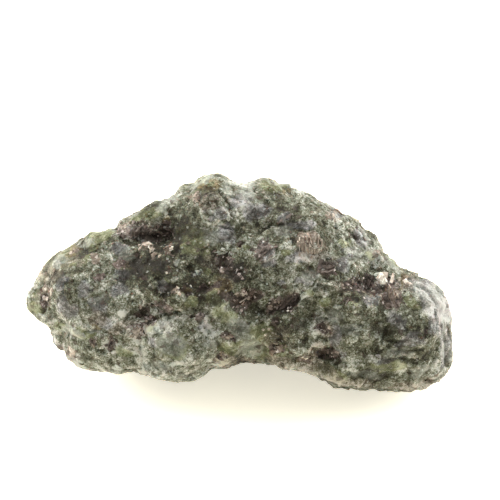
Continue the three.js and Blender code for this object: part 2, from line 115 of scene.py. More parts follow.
# patches of the side that the picture shows: pixel x, pixel y, half length mm, half width mm, turn degrees
seenPatches = {
    "mica": [
        (132, 231, 1.9, 1, 12), (150, 235, 2, 1.1, -5), (166, 230, 1.2, 1.3, 0), (120, 228, 0.8, 0.9, 0),
        (120, 264, 0.9, 0.8, 0), (226, 263, 1.3, 1.6, -60), (236, 274, 0.9, 0.9, 0), (205, 290, 1.1, 0.8, 0),
        (224, 296, 1, 0.6, 10), (243, 300, 1.9, 1.2, 35), (276, 306, 1.6, 1, 20), (292, 300, 1.9, 0.9, 45),
        (143, 312, 1.2, 1, 30), (150, 320, 1, 0.8, 20), (162, 307, 1.8, 0.7, -15), (138, 330, 1.3, 0.9, 70),
        (199, 317, 1.3, 0.6, 30), (92, 343, 0.7, 0.5, 0), (112, 345, 1.1, 0.9, 60), (222, 356, 1, 0.7, 0),
        (227, 337, 1.2, 0.5, -5), (276, 348, 1.2, 0.7, -20), (303, 360, 1.2, 0.5, -15),
        (323, 328, 0.9, 0.8, 0), (330, 355, 1.7, 0.9, -10), (360, 284, 2.2, 1, -5), (369, 278, 0.8, 0.8, 0),
        (393, 298, 1.3, 1.8, 15), (378, 290, 0.9, 0.6, 0), (326, 268, 1.6, 1.15, 25),
        (262, 249, 1.2, 1.3, -45), (353, 239, 0.4, 0.5, 40), (45, 301, 0.8, 0.9, 0), (188, 294, 0.6, 0.5, 0),
        (348, 302, 0.9, 0.5, 0), (428, 330, 0.5, 0.5, 0), (100, 278, 0.7, 0.5, 30), (216, 285, 0.9, 0.5, 30),
        (275, 322, 0.8, 0.7, 50), (260, 296, 0.8, 0.7, 0), (387, 283, 0.9, 0.7, 0), (240, 243, 0.7, 0.6, 0),
    ],
    "pale": [
        (148, 244, 0.9, 0.9, -40), (153, 253, 0.5, 0.8, 10), (170, 250, 0.6, 0.8, 20),
        (95, 257, 0.5, 0.8, -20), (76, 251, 0.7, 0.5, 0), (48, 290, 0.6, 0.9, 0), (120, 227, 0.5, 0.5, 0),
        (195, 197, 0.9, 0.5, 15), (311, 238, 1.7, 0.9, 10), (303, 244, 0.8, 1, 0), (382, 278, 0.7, 0.9, 15),
        (405, 281, 0.5, 0.8, 10), (240, 293, 0.9, 0.5, 30), (178, 292, 0.6, 0.5, 40),
        (73, 352, 0.8, 0.5, -40), (331, 217, 0.8, 0.5, -30), (377, 254, 0.6, 0.6, 0), (222, 270, 0.3, 0.7, 0),
        (137, 332, 0.6, 0.5, 50), (124, 224, 0.4, 0.4, 0), (393, 293, 0.6, 1, 15), (280, 348, 0.5, 0.3, -30),
        (222, 355, 0.5, 0.4, 0), (303, 361, 0.7, 0.3, -10),
    ],
    "lavender": [
        (62, 285, 0.9, 1.5, 0), (62, 305, 0.9, 1.5, 10), (98, 306, 1.6, 1.6, 0), (84, 290, 1.4, 1.2, 0),
        (122, 276, 1.4, 1.2, 0), (162, 284, 1.2, 0.8, 0), (70, 310, 1.4, 1.2, 0), (372, 300, 1.4, 1, 0),
        (270, 262, 1.4, 0.9, 0), (344, 264, 1.2, 1.4, 0), (415, 336, 1.6, 0.8, 0), (103, 322, 1.6, 0.8, -20),
        (120, 248, 1.6, 1.2, 0), (218, 214, 1.3, 0.8, 15), (228, 230, 1.4, 1.2, 0), (262, 212, 1.8, 1.4, 20),
        (285, 218, 1.4, 0.8, 35), (266, 250, 1.8, 1.4, -45), (360, 240, 1.4, 1.2, -40),
        (338, 212, 1.5, 0.9, -30), (152, 343, 0.8, 0.9, 0), (203, 326, 1.3, 0.8, 20),
        (430, 298, 1.6, 2.4, -20), (340, 354, 0.9, 0.9, 0), (410, 342, 1.9, 0.8, 0), (66, 349, 1.1, 0.8, -50),
        (198, 272, 0.7, 0.6, 0), (243, 325, 0.9, 0.7, 0), (120, 290, 1.6, 1, 0), (250, 212, 1.2, 1.3, 0),
        (446, 345, 0.5, 2.4, 0), (178, 345, 1, 0.8, 0), (300, 280, 1.4, 0.9, 0), (440, 306, 2.2, 3.2, 15),
        (436, 324, 1.2, 2.4, 10), (424, 288, 2, 1.4, -30), (392, 284, 1.4, 0.8, 0), (359, 233, 1.2, 0.8, -50),
        (226, 235, 1.6, 1.2, 0), (300, 257, 2.8, 1.2, 15), (240, 200, 2.2, 1, 20), (300, 226, 2.8, 0.8, 0),
        (385, 362, 1.6, 0.6, 0), (398, 322, 2, 1.2, -40), (335, 335, 1, 2, 0),
    ],
    "olive": [
        (102, 234, 1.6, 1, 0), (92, 243, 1.1, 0.8, 0), (36, 307, 1.3, 1, 0), (40, 296, 0.9, 0.9, 0),
        (45, 272, 1.8, 0.9, 55), (218, 282, 1, 1.4, 0), (206, 255, 0.8, 1.2, 0), (80, 258, 1.4, 1, 0),
        (140, 217, 1.6, 0.8, 30), (395, 262, 1.6, 0.7, -35), (152, 326, 1, 0.8, 0), (445, 342, 0.6, 1.6, 0),
        (208, 271, 0.6, 0.6, 0), (192, 301, 1.1, 0.8, 10), (287, 253, 0.9, 0.6, 0), (342, 245, 0.6, 0.6, 0),
        (247, 247, 0.6, 0.5, 0), (326, 303, 1.1, 0.6, 20), (351, 302, 0.9, 0.4, 0), (247, 345, 2.2, 1.4, 10),
        (265, 352, 1.4, 0.8, 0), (83, 333, 1.8, 0.8, -15), (62, 326, 1.2, 0.6, -30), (272, 186, 2, 1, -5),
        (155, 212, 1.8, 0.8, 30), (205, 190, 1.6, 0.8, 25), (355, 215, 1.2, 0.7, -40),
        (372, 255, 0.9, 0.8, -50), (410, 302, 0.9, 0.9, 0), (70, 263, 1.2, 0.8, 40), (124, 352, 1.2, 0.8, 0),
        (390, 366, 2.6, 0.7, 0), (310, 292, 1, 0.7, 0), (297, 262, 1, 0.7, 0), (230, 318, 1.2, 0.9, 30),
        (190, 250, 1.4, 0.8, 0), (219, 288, 1.4, 1.2, 0), (266, 336, 1.6, 1.8, -30), (220, 308, 1.2, 1.4, 0),
        (226, 350, 1.4, 0.9, 0), (98, 232, 2.4, 0.8, 5), (112, 348, 1, 0.8, 0), (200, 180, 2.4, 0.7, 20),
        (66, 254, 1.8, 0.9, 35), (190, 236, 2.6, 1.4, -30), (174, 346, 2.6, 2, 0), (160, 232, 1.2, 0.6, 0),
        (148, 270, 0.9, 0.8, 0), (126, 268, 0.8, 0.6, 0), (165, 282, 0.9, 0.7, 0), (343, 244, 0.8, 0.7, 0),
        (270, 350, 3, 1.2, 0), (216, 292, 1.4, 2, 0), (222, 360, 1.6, 0.6, 0), (330, 374, 3, 0.9, -20),
        (250, 335, 1.6, 1.4, 0),
    ],
    "frost": [
        (48, 318, 1, 0.5, -30), (72, 331, 2, 0.6, -20), (94, 330, 0.9, 0.6, 20), (160, 326, 1.9, 0.5, 38),
        (182, 318, 1.4, 0.4, 5), (141, 350, 0.6, 2, 10), (160, 366, 1.6, 0.7, -20), (172, 345, 2.4, 1.8, 0),
        (247, 192, 1.4, 1.3, 0), (228, 190, 0.9, 1.3, 0), (170, 199, 1.4, 0.8, 25), (163, 208, 0.9, 0.8, 0),
        (200, 183, 2.4, 0.5, 25), (240, 330, 2.4, 1.4, -40), (250, 348, 2.4, 1.2, 10), (355, 253, 1.2, 1, 0),
        (418, 290, 1.6, 1, -30), (432, 296, 1.4, 2, -20), (442, 340, 0.35, 3.2, 0), (450, 350, 0.3, 2.4, 0),
        (440, 288, 1.1, 0.8, -50), (330, 205, 2.4, 0.5, -30), (365, 236, 1.8, 0.5, -42),
        (395, 262, 1.8, 0.5, -30), (60, 262, 1.6, 0.7, 45), (86, 243, 1.4, 0.5, 25), (135, 213, 1.4, 0.5, 35),
        (276, 183, 2, 0.4, -5), (220, 215, 1.1, 0.7, 0), (336, 315, 1.4, 1.2, 0), (310, 275, 1.4, 1, 0),
        (127, 256, 1.4, 1, 0), (212, 238, 1.6, 1, 0), (100, 300, 1.4, 0.6, 20), (400, 350, 2, 0.5, 0),
        (420, 372, 1.8, 0.7, 25), (365, 375, 2.6, 0.6, -8), (285, 232, 1.2, 1, 0), (350, 330, 1.6, 1, 0),
        (210, 345, 1.2, 1, 0),
    ],
    "rust": [
        (204, 188, 1, 0.5, 20), (211, 186, 1.5, 0.7, 15), (222, 286, 1.5, 1.2, 0), (74, 251, 1.2, 0.7, 30),
        (188, 290, 1.2, 0.5, 0), (166, 222, 1, 0.6, 20), (92, 343, 0.5, 0.4, 0), (167, 274, 0.3, 0.25, 0),
        (273, 347, 0.7, 0.5, 0), (406, 280, 0.6, 0.9, 0), (96, 327, 0.6, 0.4, 20), (287, 192, 0.6, 0.3, 0),
        (240, 246, 0.7, 0.5, 0), (303, 361, 0.8, 0.4, 0),
    ],
    "earth": [
        (50, 275, 1.8, 1.6, 50), (46, 300, 1, 1.4, 0), (226, 360, 2.4, 1.2, -10), (282, 362, 2.6, 1.2, -15),
        (318, 352, 1.4, 1.4, 0), (292, 300, 1.2, 1, 0), (96, 318, 1.6, 1.2, 0), (327, 372, 1.6, 0.8, -30),
        (42, 298, 0.9, 1.2, 0), (312, 366, 2.6, 1.6, -20), (275, 336, 1, 2.2, -60), (122, 328, 2.8, 1, 15),
        (138, 332, 1.4, 1.2, 40), (345, 286, 2, 1, 0), (370, 290, 1.8, 1.2, 0), (403, 285, 2.2, 1.2, -10),
        (325, 330, 1.4, 1.4, 0), (138, 330, 2, 1.4, 30), (240, 360, 3, 0.6, 0), (222, 284, 1.8, 1.6, 0),
        (292, 299, 1.8, 1.4, 45), (212, 262, 1.6, 1.4, 0), (312, 250, 2.4, 2.2, 0), (210, 201, 1.6, 1.5, 10),
        (326, 266, 1.8, 1.3, 20), (66, 350, 1.8, 0.9, -50), (345, 382, 5, 0.7, -6), (415, 386, 4, 0.6, 6),
        (125, 262, 1.4, 1, 0), (332, 216, 1.2, 0.7, -35), (155, 226, 2.4, 0.8, 0), (388, 300, 1.4, 1.8, 60),
        (74, 262, 1.6, 1, 20),
    ],
    # painted shade: near-black patches where holes and pits hold shade
    "painted_shade": [
        (150, 238, 2.2, 0.7, -8), (143, 312, 0.9, 0.7, 20), (205, 291, 0.7, 0.6, 0), (290, 306, 2, 0.6, 35),
        (366, 282, 1.6, 0.5, 0), (375, 277, 0.6, 0.4, 0), (332, 357, 1.3, 0.6, -8), (386, 331, 0.6, 0.6, 0),
        (354, 237, 0.5, 0.9, 25), (258, 310, 1.4, 0.7, -50), (226, 262, 0.9, 0.9, 0), (195, 233, 2, 1.1, 0),
        (385, 330, 2, 1, 0), (398, 360, 2.4, 0.5, 0), (448, 340, 0.2, 2.6, 0), (187, 376, 1.2, 0.35, 0),
        (250, 363, 3, 0.35, -4), (262, 212, 1.4, 1, 20), (140, 268, 1.6, 1, 0), (215, 300, 1, 0.8, 0),
        (300, 325, 1.6, 1.2, -30), (322, 288, 1, 0.6, 0),
    ],
}

# the same kinds of patch on the sides that the picture doesn't show: how many, least and most radius in mm
hiddenPatches = {
    "mica": (34, 0.6, 1.9),
    "pale": (18, 0.4, 1.1),
    "lavender": (22, 1.0, 2.6),
    "olive": (24, 0.8, 2.2),
    "frost": (30, 0.8, 2.4),
    "rust": (10, 0.3, 0.9),
    "earth": (24, 1.0, 2.6),
    "painted_shade": (20, 0.6, 1.8),
}

# cracks, ridges and bands of that side: kind, width mm, depth mm, strength, pixels along it. The near-black
# kind is painted shade in cracks, in creases between lumps and along the lower edge, over a real groove of
# the depth given.
seenLines = [
    ("painted_shade", 0.3, 0.12, 0.5,
     [(115, 228), (118, 236), (124, 241), (134, 245), (146, 248), (160, 251), (174, 252)]),
    ("painted_shade", 0.25, 0.2, 0.5, [(38, 268), (46, 272), (50, 279), (47, 291), (45, 301), (44, 313)]),
    ("painted_shade", 0.3, 0.15, 0.3, [(52, 316), (70, 325), (86, 332), (103, 330), (116, 337)]),
    ("painted_shade", 0.22, 0.15, 0.6, [(50, 326), (57, 341), (68, 355), (80, 363)]),
    ("painted_shade", 0.22, 0.1, 0.3, [(155, 376), (145, 366), (140, 351), (140, 336), (146, 326)]),
    ("painted_shade", 0.22, 0.16, 0.6, [(146, 326), (153, 319), (165, 314), (178, 313)]),
    ("painted_shade", 0.22, 0.12, 0.35, [(178, 313), (195, 317), (209, 331), (219, 344), (218, 357)]),
    ("painted_shade", 0.15, 0.22, 0.7, [(219, 191), (225, 199), (230, 209), (233, 218)]),
    ("painted_shade", 0.18, 0.12, 0.4, [(201, 190), (199, 202), (204, 212), (214, 217)]),
    ("painted_shade", 0.25, 0.12, 0.5, [(175, 285), (188, 292), (200, 297), (212, 295), (228, 288)]),
    ("painted_shade", 0.3, 0.15, 0.5, [(128, 318), (136, 309), (146, 306), (158, 310)]),
    ("painted_shade", 0.25, 0.15, 0.4, [(345, 283), (360, 289), (376, 292), (390, 287), (402, 286), (414, 291)]),
    ("painted_shade", 0.25, 0.22, 0.5,
     [(402, 275), (415, 284), (430, 293), (438, 308), (441, 325), (445, 345), (447, 366)]),
    ("painted_shade", 0.18, 0.18, 0.7, [(437, 287), (446, 303), (450, 325), (451, 345), (447, 362)]),
    ("painted_shade", 0.2, 0.15, 0.5, [(346, 228), (352, 235), (358, 243), (366, 248)]),
    ("painted_shade", 0.35, 0.25, 0.8, [(314, 350), (322, 356), (333, 359), (345, 364)]),
    ("painted_shade", 0.3, 0.2, 0.6, [(286, 372), (302, 376), (318, 380), (336, 386)]),
    ("painted_shade", 0.2, 0.12, 0.6, [(388, 318), (386, 331), (381, 343)]),
    ("painted_shade", 0.25, 0.15, 0.5, [(262, 322), (272, 312), (284, 307), (296, 300), (302, 292)]),
    ("painted_shade", 0.22, 0.15, 0.5, [(246, 288), (250, 298), (258, 307), (266, 318), (277, 331), (286, 345)]),
    ("painted_shade", 0.25, 0.15, 0.4, [(238, 236), (232, 247), (224, 256), (226, 270), (236, 280)]),
    ("painted_shade", 0.25, 0.12, 0.3, [(300, 262), (312, 268), (326, 279), (338, 284)]),
    ("painted_shade", 0.22, 0.12, 0.3, [(392, 342), (406, 341), (420, 343)]),
    ("painted_shade", 0.22, 0.12, 0.3, [(388, 351), (404, 352), (424, 350)]),
    ("painted_shade", 0.22, 0.1, 0.3, [(396, 361), (412, 361), (428, 358)]),
    ("painted_shade", 0.15, 0.1, 0.6, [(216, 226), (228, 228), (240, 232)]),
    ("painted_shade", 0.12, 0.08, 0.6, [(100, 362), (108, 368), (118, 371), (134, 371)]),
    ("painted_shade", 0.15, 0.05, 0.5, [(425, 384), (434, 380), (442, 374)]),
    ("lavender", 0.95, -0.02, 1, [(409, 282), (420, 288), (429, 298), (434, 312), (438, 330)]),
    ("lavender", 0.4, -0.08, 1,
     [(408, 280), (420, 283), (431, 291), (438, 305), (441, 325), (443, 345), (442, 366)]),
    ("lavender", 0.2, -0.05, 0.9, [(446, 296), (451, 315), (453, 335), (452, 360)]),
    ("lavender", 0.35, 0.02, 0.9, [(446, 328), (447, 345), (445, 364)]),
    ("lavender", 0.45, -0.04, 0.9, [(396, 345), (408, 341), (424, 342)]),
    ("frost", 0.4, -0.06, 0.9, [(385, 357), (398, 353), (412, 354)]),
    ("frost", 0.3, -0.1, 1, [(68, 323), (74, 331), (83, 338)]),
    ("frost", 0.25, -0.06, 0.8, [(150, 336), (158, 328), (168, 321), (176, 318)]),
    ("frost", 0.22, -0.05, 0.9, [(200, 211), (210, 213), (222, 210)]),
    ("frost", 0.45, -0.06, 0.9, [(362, 246), (376, 252), (388, 262), (398, 272)]),
    ("frost", 0.2, -0.03, 0.8, [(84, 244), (90, 241), (97, 244)]),
    ("rust", 0.16, 0, 1, [(402, 272), (403, 280), (401, 288)]),
    ("lavender", 0.35, 0, 0.8, [(57, 337), (64, 350), (74, 359)]),
    ("frost", 0.3, -0.04, 0.8, [(345, 272), (352, 262), (362, 254)]),
]

# where the worn stone stands out or in a little more than the solid: a patch as above, then its rise in mm
seenPushes = [
    (298, 189, 2.6, 1.1, -25, 0.75), (41, 318, 0.9, 0.8, -40, 0.2), (137, 207, 1.5, 0.7, 30, -0.4),
    (398, 389, 2.6, 0.7, 0, -0.1), (268, 360, 2.4, 0.6, 0, 0.25), (243, 330, 2.6, 1.6, -40, 0.25),
    (75, 330, 2.2, 0.8, -18, 0.25), (452, 342, 1, 3, 0, 0.55), (445, 305, 2, 0.9, -70, 0.6),
    (450, 318, 1.2, 0.8, 90, 0.35), (36, 284, 1, 2.4, -25, 0.35), (56, 258, 1.6, 1, 45, 0.25),
    (50, 324, 0.8, 0.6, 0, 0.3), (44, 270, 0.7, 1.2, -20, 0.4), (51, 336, 1.4, 1, -55, 0.4),
    (60, 344, 0.9, 1.2, 35, 0.55), (42, 268, 1.8, 0.9, 55, 0.35), (212, 177, 2.6, 0.7, 8, 0.4),
    (183, 187, 1.2, 0.6, 35, 0.35), (388, 254, 1, 0.7, -40, -0.35), (376, 242, 1.8, 0.8, -52, 0.3),
    (343, 211, 0.8, 0.5, -30, -0.25), (365, 225, 1, 0.7, -45, -0.3), (287, 183, 0.8, 0.5, 0, -0.45),
    (98, 228, 1.4, 0.6, 0, -0.4), (127, 214, 1.2, 0.6, 30, -0.35), (149, 201, 1, 0.6, 20, -0.25),
    (346, 391, 1.8, 0.7, 0, -0.35), (325, 385, 0.9, 0.6, -30, -0.3), (132, 231, 1.6, 1, 10, 0.45),
    (360, 283, 2.6, 1, 0, 0.35), (152, 230, 2, 1, 0, 0.45), (166, 229, 1, 1.2, 0, 0.3),
    (148, 246, 1.4, 0.8, -10, 0.3), (302, 375, 2.4, 0.8, -25, -0.25), (208, 372, 1.4, 0.8, 25, -0.25),
    (353, 237, 1.2, 1.2, 0, 0.25), (140, 313, 1.8, 1.2, 20, 0.25), (440, 382, 1.4, 1, 40, 0.2),
]

# broad changes of tone of that side, partly the stone's own and partly painted light and shade, such as
# lighter lower rims standing in for light thrown up from the floor: pixel x and y, radii in mm, turn, change
seenTonesAndLight = [
    (40, 293, 1.1, 1.2, 0, -0.1), (154, 207, 1.4, 1, 30, -0.44), (141, 276, 1.2, 1.3, 0, -0.34),
    (167, 291, 2.3, 1.5, 0, -0.72), (106, 301, 1.9, 0.9, 12, -0.44), (98, 342, 1.2, 1, 0, -0.28),
    (178, 246, 1.3, 0.8, 0, -0.24), (218, 227, 1.8, 1.2, 0, 0.38), (253, 254, 1.9, 2.6, 0, 0.16),
    (292, 273, 1.2, 1.2, 0, 0.2), (316, 284, 1.1, 1.6, 0, 0.2), (293, 228, 1.2, 1.2, 0, -0.32),
    (342, 267, 1.2, 1.2, 0, -0.34), (363, 294, 1, 0.9, 0, -0.26), (292, 286, 1, 0.9, 0, -0.26),
    (308, 338, 1.2, 2.6, 0, -0.34), (349, 332, 1.4, 1.2, 0, -0.44), (405, 320, 1.1, 0.8, 0, -0.22),
    (235, 331, 1.2, 1.2, 0, -0.28), (230, 352, 1, 0.9, 0, -0.22), (195, 299, 1.4, 0.8, 0, -0.22),
    (280, 210, 1, 0.8, 0, -0.26), (147, 240, 1.3, 0.9, 0, 1), (92, 272, 1, 1.2, 0, 0.2),
    (90, 299, 1, 1, 0, 0.22), (88, 325, 1.5, 1, 0, 0.42), (110, 322, 1.5, 1, 0, 0.26),
    (56, 335, 1, 1.2, 0, 0.24), (79, 362, 1.4, 0.9, -30, 0.34), (143, 362, 1.3, 1, 0, 0.38),
    (166, 328, 2.2, 1.5, 20, 0.6), (183, 360, 1.8, 1.3, 0, 0.42), (197, 336, 1.2, 1.2, 0, 0.22),
    (214, 281, 1, 1.6, 0, 0.34), (258, 350, 1.2, 0.8, 0, 0.28), (321, 313, 1.4, 1.6, 0, 0.46),
    (284, 315, 1, 1, 0, 0.22), (346, 251, 1.2, 0.9, 0, 0.22), (361, 263, 1.2, 1, 0, 0.24),
    (380, 282, 0.9, 1, 0, 0.66), (428, 313, 1.4, 1, 0, 0.3), (440, 312, 1.6, 2.2, 0, 0.74),
    (395, 305, 1.3, 1, 0, 0.24), (380, 336, 1.2, 1.6, 0, 0.2), (436, 365, 1.2, 1.5, 0, 0.32),
    (275, 230, 0.9, 1, 0, 0.52), (241, 183, 1.8, 0.7, 0, 0.26), (364, 279, 1.3, 0.9, 0, -0.35),
    (320, 272, 1, 1.1, 0, 0.55), (210, 332, 1.3, 1.2, 0, 0.46), (84, 254, 1.3, 1.1, 0, -0.36),
    (152, 247, 3.4, 0.8, 0, -0.3), (144, 272, 1.1, 1.5, 0, -0.3), (106, 250, 0.9, 2.2, 0, 0.2),
    (104, 285, 1.1, 1.5, 0, 0.32), (122, 313, 2.2, 1, 0, 0.3), (151, 309, 1.7, 1.7, 0, 0.34),
    (296, 336, 1, 1.2, 0, -0.16), (302, 291, 1.7, 1.4, 0, 0.3), (294, 242, 1.8, 0.9, 0, -0.32),
    (268, 253, 1, 1.1, 0, -0.36), (46, 268, 1.1, 0.9, 50, -0.32), (446, 366, 1.2, 1.9, 0, -0.14),
    (335, 367, 1.3, 1, 0, -0.28), (233, 247, 1.7, 1.1, 0, 0.3), (66, 298, 1.8, 1.8, 0, -0.24),
    (336, 222, 0.9, 0.9, 0, 0.36), (218, 210, 1.7, 0.9, 0, -0.3), (317, 240, 1.2, 1, 0, -0.24),
    (265, 300, 1.2, 0.9, 0, -0.26), (380, 245, 1.6, 0.7, -50, 0.28), (195, 262, 8, 4.4, 0, -0.3),
    (240, 285, 6, 4.4, 0, -0.3), (290, 315, 6, 3.6, -30, -0.14), (285, 216, 4.4, 2.8, -30, -0.18),
    (147, 266, 3.8, 3, 0, -0.58), (181, 261, 1.4, 1, 0, 0.32), (128, 275, 1.8, 2.2, 0, -0.4),
    (150, 288, 2.2, 1, 0, -0.22), (145, 326, 1.8, 1.6, 0, 0.55), (110, 345, 2.4, 1.4, -3, 0.8),
    (136, 342, 1.4, 1.8, 0, 0.42), (120, 329, 1.4, 0.8, 0, -0.24), (160, 309, 2, 1, 0, 0.28),
    (108, 367, 3.6, 0.9, 0, 0.24), (154, 378, 1.8, 0.7, 0, 0.3), (72, 292, 1.7, 1.1, 0, -0.18),
    (78, 272, 1.1, 0.8, 0, -0.24), (172, 345, 4.6, 4, 0, -0.06), (168, 364, 2, 1, 0, 0.3),
    (178, 313, 1.8, 0.9, 0, 0.28), (205, 333, 1.3, 1.5, 0, 0.12), (72, 328, 4.2, 1.8, -25, 0.16),
    (40, 298, 2.4, 3, 0, 0.12), (430, 298, 3.4, 3, -40, 0.14), (424, 303, 1.6, 1.5, 0, -0.3),
    (430, 326, 1.1, 2.2, 0, -0.14), (448, 340, 1.4, 5, 0, 0.18), (368, 250, 3.4, 1.2, -50, 0.4),
    (359, 237, 1.5, 1.1, -50, -0.45), (114, 357, 5, 1.8, 0, 0.14), (395, 350, 5, 2.6, 0, -0.16),
    (92, 238, 2, 1.6, 20, -0.16), (208, 193, 2, 1.6, 0, -0.52), (312, 330, 2, 3.8, 0, 0.44),
    (300, 321, 0.9, 1, 0, 0.4), (317, 350, 1.2, 1.4, 0, 0.24), (290, 312, 1, 0.9, 0, -0.22),
    (284, 366, 1.8, 0.9, -10, 0.1), (141, 211, 2, 1.1, 30, -0.42), (163, 216, 1.2, 0.9, 0, 0.2),
    (312, 243, 2.2, 1.8, 0, 0.22), (327, 268, 2, 1.4, 20, -0.26), (183, 226, 3, 3.6, 0, -0.28),
    (192, 287, 3.2, 1.8, 0, -0.4), (203, 298, 1.5, 0.9, 0, -0.36), (64, 280, 2.4, 2.8, 30, -0.22),
    (240, 329, 1.6, 2, 0, -0.42), (239, 358, 1.3, 1, 0, -0.26), (368, 375, 3, 1.5, 0, -0.4),
    (350, 294, 2.6, 1.6, -10, -0.36), (335, 278, 1.6, 2, 0, -0.24), (283, 328, 2.6, 1.8, 0, -0.26),
    (418, 332, 3.2, 1.8, -20, -0.28), (342, 310, 1.6, 2, 0, -0.28), (272, 192, 2.2, 1.3, 0, -0.36),
    (243, 232, 1.6, 1.2, 0, -0.26), (219, 243, 1, 1, 0, -0.5), (236, 210, 3, 1.6, 0, 0.56),
    (261, 208, 1, 0.9, 0, 0.38), (285, 230, 1.2, 1.2, 0, -0.12), (271, 251, 0.8, 1.4, 0, -0.22),
    (247, 199, 1.4, 0.8, 0, -0.2), (107, 264, 1.6, 2.4, 0, 0.22), (120, 320, 2.8, 1.8, 0, 0.22),
    (143, 350, 1.4, 4.4, 0, 0.4), (150, 372, 1.8, 1.4, 0, 0.36), (210, 322, 1.6, 3, 0, 0.4),
    (212, 364, 3, 1.9, 20, 0.4), (72, 362, 3.2, 1.4, -35, 0.34), (306, 257, 2.4, 1.2, 0, 0.46),
    (325, 257, 2, 1.2, 0, 0.28), (284, 281, 1.6, 0.9, -30, 0.24), (303, 286, 2.6, 1.8, 0, 0.12),
    (346, 242, 2.8, 2, -30, 0.32), (385, 278, 1.6, 1.6, 0, 0.12), (436, 374, 2.4, 1.6, 20, 0.3),
    (330, 380, 4.4, 1.2, -12, 0.26), (412, 387, 3.6, 0.9, 0, 0.28), (262, 327, 1.6, 2.4, 0, 0.1),
    (52, 330, 1.2, 2.6, 30, 0.24), (246, 251, 2.2, 1.2, 0, 0.2), (185, 374, 3.6, 1.6, 0, 0.22),
    (120, 371, 5.4, 0.9, -2, 0.26), (304, 373, 3.2, 1.4, -25, 0.18), (354, 360, 1.8, 1.8, 0, 0.34),
    (164, 247, 1.4, 1, 0, -0.2), (236, 271, 1.8, 1.8, 0, -0.62), (96, 306, 2.8, 1.4, 10, -0.22),
    (168, 348, 2.2, 1.6, 20, -0.3), (80, 256, 2, 1.8, 20, -0.18), (372, 264, 2.2, 1.1, -10, 0.34),
    (361, 249, 1.4, 0.8, 0, -0.3), (271, 233, 1.6, 1.2, 0, 0.06), (401, 370, 1.4, 1.6, 0, 0.52),
    (178, 192, 1.6, 0.9, 30, 0.22), (222, 306, 1.6, 1.6, 0, 0.34), (260, 304, 1.6, 2.2, 0, 0.46),
    (257, 278, 1, 2, 0, 0.24), (211, 276, 1, 1.4, 0, 0.2), (322, 294, 1.4, 1, 0, 0.45),
    (304, 240, 1.3, 1.3, 0, 0.42), (229, 362, 1.8, 1.1, 10, 0.2), (352, 367, 1.6, 1.2, 0, 0.3),
    (450, 318, 0.8, 1.8, 0, 0.55), (56, 319, 1.2, 1.2, 0, 0.34), (76, 352, 1.2, 1.8, 0, 0.22),
    (126, 233, 2.4, 1.2, -15, 0.6), (165, 238, 1.2, 0.7, 0, 0.25), (384, 363, 1.2, 0.8, 0, -0.3),
    (401, 322, 1.4, 1, 0, -0.2), (56, 258, 1.6, 1.2, 40, -0.24), (127, 255, 1.4, 1.9, 0, -0.32),
    (182, 230, 1.2, 1.8, 0, -0.22), (168, 248, 1.2, 0.8, 0, -0.3), (323, 240, 0.9, 1, 0, -0.35),
    (346, 286, 1.8, 1.2, 0, -0.2), (232, 182, 1.3, 0.7, -30, 0.3), (300, 194, 1.4, 0.8, -25, 0.2),
    (336, 228, 0.9, 0.9, 0, 0.26), (355, 319, 0.9, 1.2, 0, 0.26), (370, 320, 0.9, 1.1, 0, -0.24),
    (395, 298, 1.2, 1.2, 0, 0.25), (408, 284, 1, 0.8, 0, 0.3), (366, 386, 1.3, 0.8, 0, -0.1),
    (392, 388, 1.6, 0.5, 0, 0.25), (422, 385, 1.2, 0.6, 10, 0.3), (408, 358, 2.6, 0.8, 0, 0.3),
    (392, 368, 1.5, 0.9, 0, -0.24), (368, 353, 0.9, 1.1, 0, 0.24), (438, 348, 0.9, 1.6, 0, 0.18),
    (136, 328, 2.2, 1.4, 0, 0.26), (262, 204, 1.2, 1, 0, 0.32), (244, 184, 2, 0.8, 0, 0.26),
    (320, 220, 1.8, 1.4, -20, -0.24), (142, 232, 2.2, 1.1, 10, 0.62), (62, 347, 0.8, 1, 35, -0.24),
    (430, 298, 1.8, 1.2, -35, 0.18), (164, 262, 1.8, 1.6, 0, -0.16), (357, 323, 0.9, 1.2, 0, 0.22),
    (250, 363, 3, 0.5, 0, -0.2),
]

stoneShape = {
    "voxel": 0.265 * mm,
    "softening": 8,           # rounds of smoothing that wear the breaks' edges
    "lumps": [                # size, depth of the creases between, step and tip of each, in mm
        (4.6, 0.13, 0.05, 0.02),
        (2.1, 0.11, 0.06, 0.06),
        (1.0, 0.08, 0.05, 0.13),
    ],
    "waver": 0.5,             # share of its size that a lump's edge wanders
    "pitDepth": {"mica": 0.14, "painted_shade": 0.16, "pale": 0.03},
    "swell": {"olive": 0.06, "frost": 0.03},
    "area": 4200,             # mm2 that the lumps share out
    "footKept": 0.9 * mm,     # nothing is moved this near the resting surface
    "ragged": [(1.5, 3.7, 0.55), (0.5, 9.1, 0.28)],  # wandering of patches' edges: size mm, shift, reach mm
    "gentle": (1.2, 6.3, 0.22),                      # the same for lines and tones
    "patchEdge": (0.4, 1.4),                         # where a mask starts and ends to fade, 1 at its rim
    "lineEdge": (0.2, 1.6),
    "pushEdge": (0.2, 1.3),
    "toneEdge": (0.1, 1.1),
    "hiddenTones": [(7.0, 1.5, 0.40), (3.0, 8.5, 0.26)],  # size mm, shift, strength
    "hiddenDarker": 0.10,
    "rough": [(0.7, 5.5, 0.06), (3.0, 2.5, 0.15)],   # unevenness: size mm, shift, height mm
    "seed": 5,
    "wanderSeed": 1,          # never 0, which would make edges and flakes wander differently at every run
}


def smoothStep(value, low, high):
    share = np.clip((value - low) / (high - low), 0, 1)
    return share * share * (3 - 2 * share)


def meshPoints(mesh):
    points = np.empty(len(mesh.vertices) * 3)
    mesh.vertices.foreach_get("co", points)
    return points.reshape(-1, 3)


def meshNormals(mesh):
    normals = np.empty(len(mesh.vertices) * 3)
    mesh.vertices.foreach_get("normal", normals)
    return normals.reshape(-1, 3)


